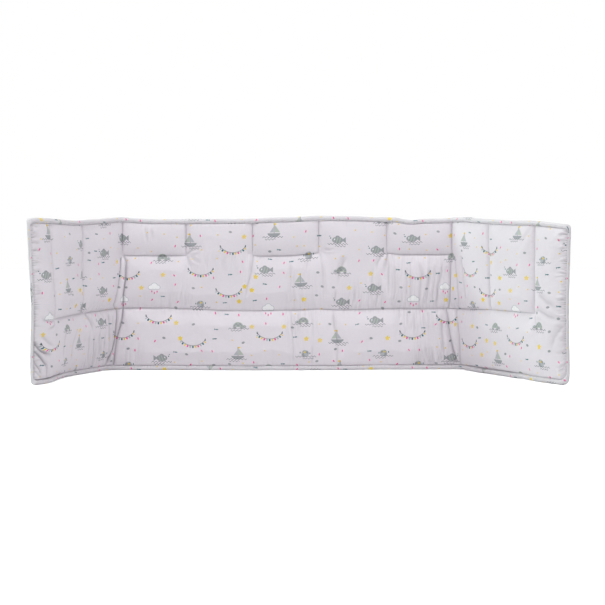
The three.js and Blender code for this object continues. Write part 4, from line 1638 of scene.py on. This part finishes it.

# %% [markdown]
# ## Fine gathers at the edge
# Where the strip is sewn on, the cloth is drawn up in ticks finer than the mesh. They are
# short hollows square to the seam, each drawn for its own step along it, so the group asks
# only how far along the seam and how far away from it a place is. The finish bumps them and
# paints shade into them.

# %% The gathers as one node group
TICK_PITCH = 8.0
TICK_HALF = 1.5
TICK_SEED = 41.0
TICK_SHIFT = 0.5  # share of the pitch over which a tick's place is drawn
TICK_LEAST = 0.002  # metres that the shortest tick reaches, and what the longest adds to it
TICK_LONGER = 0.02
TICK_FAINT = 0.4  # depth of the faintest tick

gather_tree, gather_in, gather_out = new_group(
    "gathered_edge",
    [("Along", "NodeSocketFloat", 0.0), ("Away", "NodeSocketFloat", 0.0)],
    [("Hollow", "NodeSocketFloat")],
)
steps_along = Term(gather_tree, gather_in.outputs["Along"]) / (MM * TICK_PITCH)
step_number = steps_along.floor()
tick_place, tick_long, tick_deep = dice_at(gather_tree, step_number, step_number, TICK_SEED)
in_step = steps_along - step_number - (1 - TICK_SHIFT) / 2 - tick_place * TICK_SHIFT
off_tick = in_step * (TICK_PITCH / TICK_HALF)
tick_reach = tick_long * tick_long * TICK_LONGER + TICK_LEAST
tick_fade = (1 - Term(gather_tree, gather_in.outputs["Away"]) / tick_reach).cut()
tick_depth = tick_deep * (1 - TICK_FAINT) + TICK_FAINT
tick = off_tick.node("EXPONENT", 0 - off_tick * off_tick) * tick_fade * tick_depth
gather_tree.links.new(tick.socket, gather_out.inputs["Hollow"])
print("gather nodes:", len(gather_tree.nodes))

# %% [markdown]
# ## Fine creases
# Where the panel has cloth to spare, the big wrinkles are joined by hair-thin ones that run
# the same way, up and down. They are the places where a long drawn-out noise passes through
# its middle value, which gives lines that start, stop and fork as creases do. The finish
# bumps them and paints shade into them.

# %% The fine creases as one node group
CREASE_SCALE = (66.0, 6.0, 1.0)  # noise to the metre, across the creases and along them
CREASE_LAYERS = [(1.0, 17.0, 1.0), (1.6, 17.0, 0.6)]  # scale, sharpness and strength
fine_tree, fine_in, fine_out = new_group(
    "fine_creases",
    [("Cloth", "NodeSocketVector", None), ("Spare", "NodeSocketFloat", 0.0)],
    [("Hollow", "NodeSocketFloat")],
)
drawn_out = fine_tree.nodes.new("ShaderNodeMapping")
drawn_out.inputs["Scale"].default_value = CREASE_SCALE
fine_tree.links.new(fine_in.outputs["Cloth"], drawn_out.inputs["Vector"])
creased = []
for scale, sharpness, strength in CREASE_LAYERS:
    drift = noise(fine_tree, drawn_out.outputs["Vector"], scale, 1.0)
    creased.append((1 - (drift - 0.5).size() * sharpness).cut() * strength)
fine_painted_shade = most(*creased) * Term(fine_tree, fine_in.outputs["Spare"])
fine_tree.links.new(fine_painted_shade.socket, fine_out.inputs["Hollow"])
print("fine crease nodes:", len(fine_tree.nodes))

# %% [markdown]
# ## The two finishes
# Panel and strip are the same cotton, and the strip's ground is painted a little darker, as
# painted shade on the whole strip. Cotton has no gloss, so the roughness is high and the
# ink a touch smoother than the bare cloth. A faint sheen stands for the fuzz on its edges.
# Sheen and gloss are the same all over, so they are set on the shader itself. What changes
# from place to place comes through the groups: the print, the weave, and the three kinds of
# hollow, which darken the colour as painted shade and lower the bump.

# %% Helpers for a finish
def place_group(tree, group, cloth):
    node = tree.nodes.new("ShaderNodeGroup")
    node.node_tree = group
    tree.links.new(cloth, node.inputs["Cloth"])
    return node


def times(tree, first, second):
    """A colour multiplied by another colour or by a shade."""
    mix = tree.nodes.new("ShaderNodeMix")
    mix.data_type = "RGBA"
    mix.blend_type = "MULTIPLY"
    mix.inputs["Factor"].default_value = 1.0
    tree.links.new(first, mix.inputs["A"])
    tree.links.new(second, mix.inputs["B"])
    return mix.outputs["Result"]


def stored(tree, name):
    """The number that each point of the mesh keeps under a name."""
    node = tree.nodes.new("ShaderNodeAttribute")
    node.attribute_name = name
    return node.outputs["Fac"]


# %% Cotton finish
# Painted shade: the colour is darkened in sewn creases and troughs, ticks and fine creases, where
# shade falls.
CREASE_SHADE_TONE = 0.5  # how much of the colour the deepest crease, tick and fine crease take
TICK_SHADE_TONE = 0.37
FINE_SHADE_TONE = 0.11
TICK_HIGH = 1.5  # how deep a tick and a fine crease are, beside the crumple
FINE_HIGH = 0.7
SHEEN = 0.12
SHEEN_ROUGHNESS = 0.45
GLOSS = 0.25
BARE_ROUGHNESS = 0.93
INK_SMOOTHER = 0.08
BUMP_STRENGTH = 0.5
BUMP_HIGH = 0.0011  # metres


def cotton(name, ground, along, away):
    """Cotton with the print on a ground. Along and away turn a place into those of its edge."""
    material = bpy.data.materials.new(name)
    material.use_nodes = True
    tree = material.node_tree
    shader = tree.nodes["Principled BSDF"]
    shader.inputs["Sheen Weight"].default_value = SHEEN
    shader.inputs["Sheen Roughness"].default_value = SHEEN_ROUGHNESS
    shader.inputs["Specular IOR Level"].default_value = GLOSS
    place = tree.nodes.new("ShaderNodeUVMap")
    place.uv_map = "cloth"
    printed = place_group(tree, print_tree, place.outputs["UV"])
    printed.inputs["Ground"].default_value = linear(ground)
    woven = place_group(tree, weave_tree, place.outputs["UV"])
    spot = tree.nodes.new("ShaderNodeSeparateXYZ")
    tree.links.new(place.outputs["UV"], spot.inputs["Vector"])
    spot_x = Term(tree, spot.outputs["X"])
    spot_y = Term(tree, spot.outputs["Y"])
    gathers = tree.nodes.new("ShaderNodeGroup")
    gathers.node_tree = gather_tree
    tree.links.new(along(spot_x, spot_y).socket, gathers.inputs["Along"])
    tree.links.new(away(spot_x, spot_y).socket, gathers.inputs["Away"])
    ticks = Term(tree, gathers.outputs["Hollow"])
    creases = place_group(tree, fine_tree, place.outputs["UV"])
    tree.links.new(stored(tree, "spare"), creases.inputs["Spare"])
    fine = Term(tree, creases.outputs["Hollow"])
    painted_shade = Term(tree, stored(tree, "painted_shade"))
    # painted shade in creases, troughs, ticks and fine creases
    light_left = 1 - painted_shade * CREASE_SHADE_TONE - ticks * TICK_SHADE_TONE - fine * FINE_SHADE_TONE
    shaded = times(tree, printed.outputs["Color"], woven.outputs["Shade"])
    tree.links.new(times(tree, shaded, light_left.socket), shader.inputs["Base Color"])
    rough = BARE_ROUGHNESS - Term(tree, printed.outputs["Ink"]) * INK_SMOOTHER
    tree.links.new(rough.socket, shader.inputs["Roughness"])
    bump = tree.nodes.new("ShaderNodeBump")
    bump.inputs["Strength"].default_value = BUMP_STRENGTH
    bump.inputs["Distance"].default_value = BUMP_HIGH
    high = Term(tree, woven.outputs["Height"]) - ticks * TICK_HIGH - fine * FINE_HIGH
    tree.links.new(high.socket, bump.inputs["Height"])
    tree.links.new(bump.outputs["Normal"], shader.inputs["Normal"])
    return material


# %% The panels' cotton and the strip's
# The strip's ground is the panel's cotton painted darker: painted shade on the whole strip.
STRIP_SHADED_GROUND = "#dfdae0"
STRIP_WIDTH = ROUND_SECTION * MM
panel_cotton = cotton(
    "panel_cotton", PANEL_GROUND,
    along=lambda x, y: y,
    away=lambda x, y: least(x - PAD_LEFT * MM, PAD_RIGHT * MM - x).size(),
)
strip_cotton = cotton(
    "strip_cotton", STRIP_SHADED_GROUND,
    along=lambda x, y: x,
    away=lambda x, y: least(y - STRIP_PRINT[1], STRIP_PRINT[1] + STRIP_WIDTH - y),
)
front_panel.data.materials.append(panel_cotton)
back_panel.data.materials.append(panel_cotton)
edge_strip.data.materials.append(strip_cotton)

# %% Thread finish
TWIST = 2600.0  # strands of the thread to the metre
THREAD_SHEEN = 0.2
THREAD_SMOOTHEST = 0.62
THREAD_ROUGHER = 0.2
# The strands' grey is partly the thread's own colour and partly painted shade for the groove it
# lies in.
DARK_STRAND = "#b9b4be"
LIGHT_STRAND = "#dcd8e0"

thread = bpy.data.materials.new("seam_thread")
thread.use_nodes = True
thread_tree = thread.node_tree
thread_shader = thread_tree.nodes["Principled BSDF"]
thread_shader.inputs["Sheen Weight"].default_value = THREAD_SHEEN
in_space = thread_tree.nodes.new("ShaderNodeTexCoord")
strands = noise(thread_tree, in_space.outputs["Object"], TWIST)
dark_strand = thread_tree.nodes.new("ShaderNodeRGB")
dark_strand.outputs[0].default_value = linear(DARK_STRAND)
thread_colour = paint(thread_tree, dark_strand.outputs[0], strands.cut(), LIGHT_STRAND)
thread_tree.links.new(thread_colour, thread_shader.inputs["Base Color"])
thread_rough = THREAD_SMOOTHEST + strands * THREAD_ROUGHER
thread_tree.links.new(thread_rough.socket, thread_shader.inputs["Roughness"])
stitches.data.materials.append(thread)
print("finishes:", panel_cotton.name, strip_cotton.name, thread.name)

# %% [markdown]
# ## What each piece is
# The two panels and the stitches stand for the pad's solid, and the strip for its own, and
# those two solids are hidden. All of them ride on the one body.

# %% Telling the frame
for thing, node, slot in (
    (front_panel, "pad", "panel_cotton"),
    (back_panel, "pad", "panel_cotton"),
    (edge_strip, "boxing", "strip_cotton"),
):
    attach(thing, "root")
    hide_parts(node)
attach(stitches, "root")

# %% [markdown]
# ## Floor, light and camera
# The photograph is a bright cut-out on white, so the floor and the world look white. A
# broad lamp high above gives each pocket its bright top and its shaded foot. A lamp behind
# on the left lights the right wing's inside, which the sky alone would leave as lilac as
# the rest, so its light is faintly green. The other lamps are weak and fill in from the
# front. The camera stands nearly six metres off with a long lens, just above the top edge.

# %% The floor
FLOOR_HALF = 9.0  # metres from its middle to each side
FLOOR_WHITE = 0.85
FLOOR_ROUGHNESS = 0.95
SEEN_GLOW = 0.7  # only the camera sees this, so it whitens the floor and lights nothing
WHITE = (1, 1, 1, 1)

corners = np.array([(-1, -1, 0), (1, -1, 0), (1, 1, 0), (-1, 1, 0)]) * FLOOR_HALF
floor = new_mesh("floor", corners, np.array([[0, 1, 2, 3]]))
floor_paint = bpy.data.materials.new("floor_paint")
floor_paint.use_nodes = True
floor_tree = floor_paint.node_tree
floor_shader = floor_tree.nodes["Principled BSDF"]
floor_shader.inputs["Base Color"].default_value = (FLOOR_WHITE, FLOOR_WHITE, FLOOR_WHITE, 1)
floor_shader.inputs["Roughness"].default_value = FLOOR_ROUGHNESS
floor_shader.inputs["Emission Color"].default_value = WHITE
floor_sight = floor_tree.nodes.new("ShaderNodeLightPath")
glow = Term(floor_tree, floor_sight.outputs["Is Camera Ray"]) * SEEN_GLOW
floor_tree.links.new(glow.socket, floor_shader.inputs["Emission Strength"])
floor.data.materials.append(floor_paint)
floor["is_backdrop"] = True

# %% The sky of the studio
SKY_COLOUR = (1, 0.99, 1, 1)
SKY_AT_WALL = 0.315
SKY_RISE = 0.2  # the studio's ceiling is a little brighter than its walls

world = bpy.data.worlds.new("studio")
scene.world = world
world.use_nodes = True
sky_tree = world.node_tree
sky = sky_tree.nodes["Background"]
sky.inputs["Color"].default_value = SKY_COLOUR
way_up = sky_tree.nodes.new("ShaderNodeTexCoord")
split_way = sky_tree.nodes.new("ShaderNodeSeparateXYZ")
sky_tree.links.new(way_up.outputs["Generated"], split_way.inputs["Vector"])
sky_strength = SKY_AT_WALL + Term(sky_tree, split_way.outputs["Z"]).cut() * SKY_RISE
sky_tree.links.new(sky_strength.socket, sky.inputs["Strength"])

# %% What the camera sees of it: plain white
seen = sky_tree.nodes.new("ShaderNodeBackground")
seen.inputs["Color"].default_value = WHITE
seen.inputs["Strength"].default_value = 1.0
choose = sky_tree.nodes.new("ShaderNodeMixShader")
sight = sky_tree.nodes.new("ShaderNodeLightPath")
world_out = sky_tree.nodes["World Output"]
sky_tree.links.new(sight.outputs["Is Camera Ray"], choose.inputs["Fac"])
sky_tree.links.new(sky.outputs["Background"], choose.inputs[1])
sky_tree.links.new(seen.outputs["Background"], choose.inputs[2])
sky_tree.links.new(choose.outputs["Shader"], world_out.inputs["Surface"])

# %% The lamps
SOFT_WHITE = (0.965, 1.0, 0.98)
PALE_GREEN = (0.78, 1.0, 0.85)
Lamp = namedtuple("Lamp", "name place target width height watts tint")
LAMPS = [
    Lamp("key", (-3.0, -2.9, 2.6), (0.2, -0.1, 0.3), 2.6, 1.8, 17, SOFT_WHITE),
    Lamp("fill", (3.2, -2.2, 3.6), (-0.7, -0.2, 0.3), 2.0, 1.5, 19, SOFT_WHITE),
    Lamp("low fill", (-1.6, -6.3, 0.4), (0.2, 0.0, 0.3), 2.5, 0.7, 7, SOFT_WHITE),
    Lamp("top", (0.0, -2.4, 7.2), (0.0, -0.2, 0.3), 5.0, 2.4, 270, SOFT_WHITE),
    Lamp("side", (-3.9, 0.9, 2.6), (0.9, -0.35, 0.25), 1.2, 1.0, 80, PALE_GREEN),
]


def aim(thing, target):
    """Turns a lamp so that it shines from where it is towards the target."""
    away = np.array(thing.location) - np.array(target)
    flat_way = math.hypot(away[0], away[1])
    thing.rotation_euler = (math.atan2(flat_way, away[2]), 0, math.atan2(away[0], -away[1]))


def hang(row):
    """A rectangular lamp as its row says, in metres and watts."""
    light = bpy.data.lights.new(row.name, "AREA")
    light.shape = "RECTANGLE"
    light.size = row.width
    light.size_y = row.height
    light.energy = row.watts
    light.color = row.tint
    lamp = bpy.data.objects.new(row.name, light)
    lamp.location = row.place
    scene.collection.objects.link(lamp)
    aim(lamp, row.target)


for row in LAMPS:
    hang(row)
print("lamps:", [row.name for row in LAMPS])

# %% Camera
CAMERA_PLACE = (0.0553, -5.8157, 0.5991)
CAMERA_DIP = 3.457  # degrees that it looks down
CAMERA_LENS = 95.35  # millimetres
CAMERA_SENSOR = 36.0

camera_data = bpy.data.cameras.new("camera")
camera_data.sensor_width = CAMERA_SENSOR
camera_data.lens = CAMERA_LENS
camera = bpy.data.objects.new("camera", camera_data)
camera.location = CAMERA_PLACE
camera.rotation_euler = (math.radians(90 - CAMERA_DIP), 0, 0)
scene.collection.objects.link(camera)
scene.camera = camera
scene.view_settings.view_transform = "Standard"  # so that white paper comes out white
print("camera:", round(-CAMERA_PLACE[1], 2), "m in front of the back panel")

# %% [markdown]
# ## Measuring the result
# Cloth that swells and wrinkles may reach a little past the solids it stands for, so the box
# round everything is measured.

# %% The size after
low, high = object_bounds()
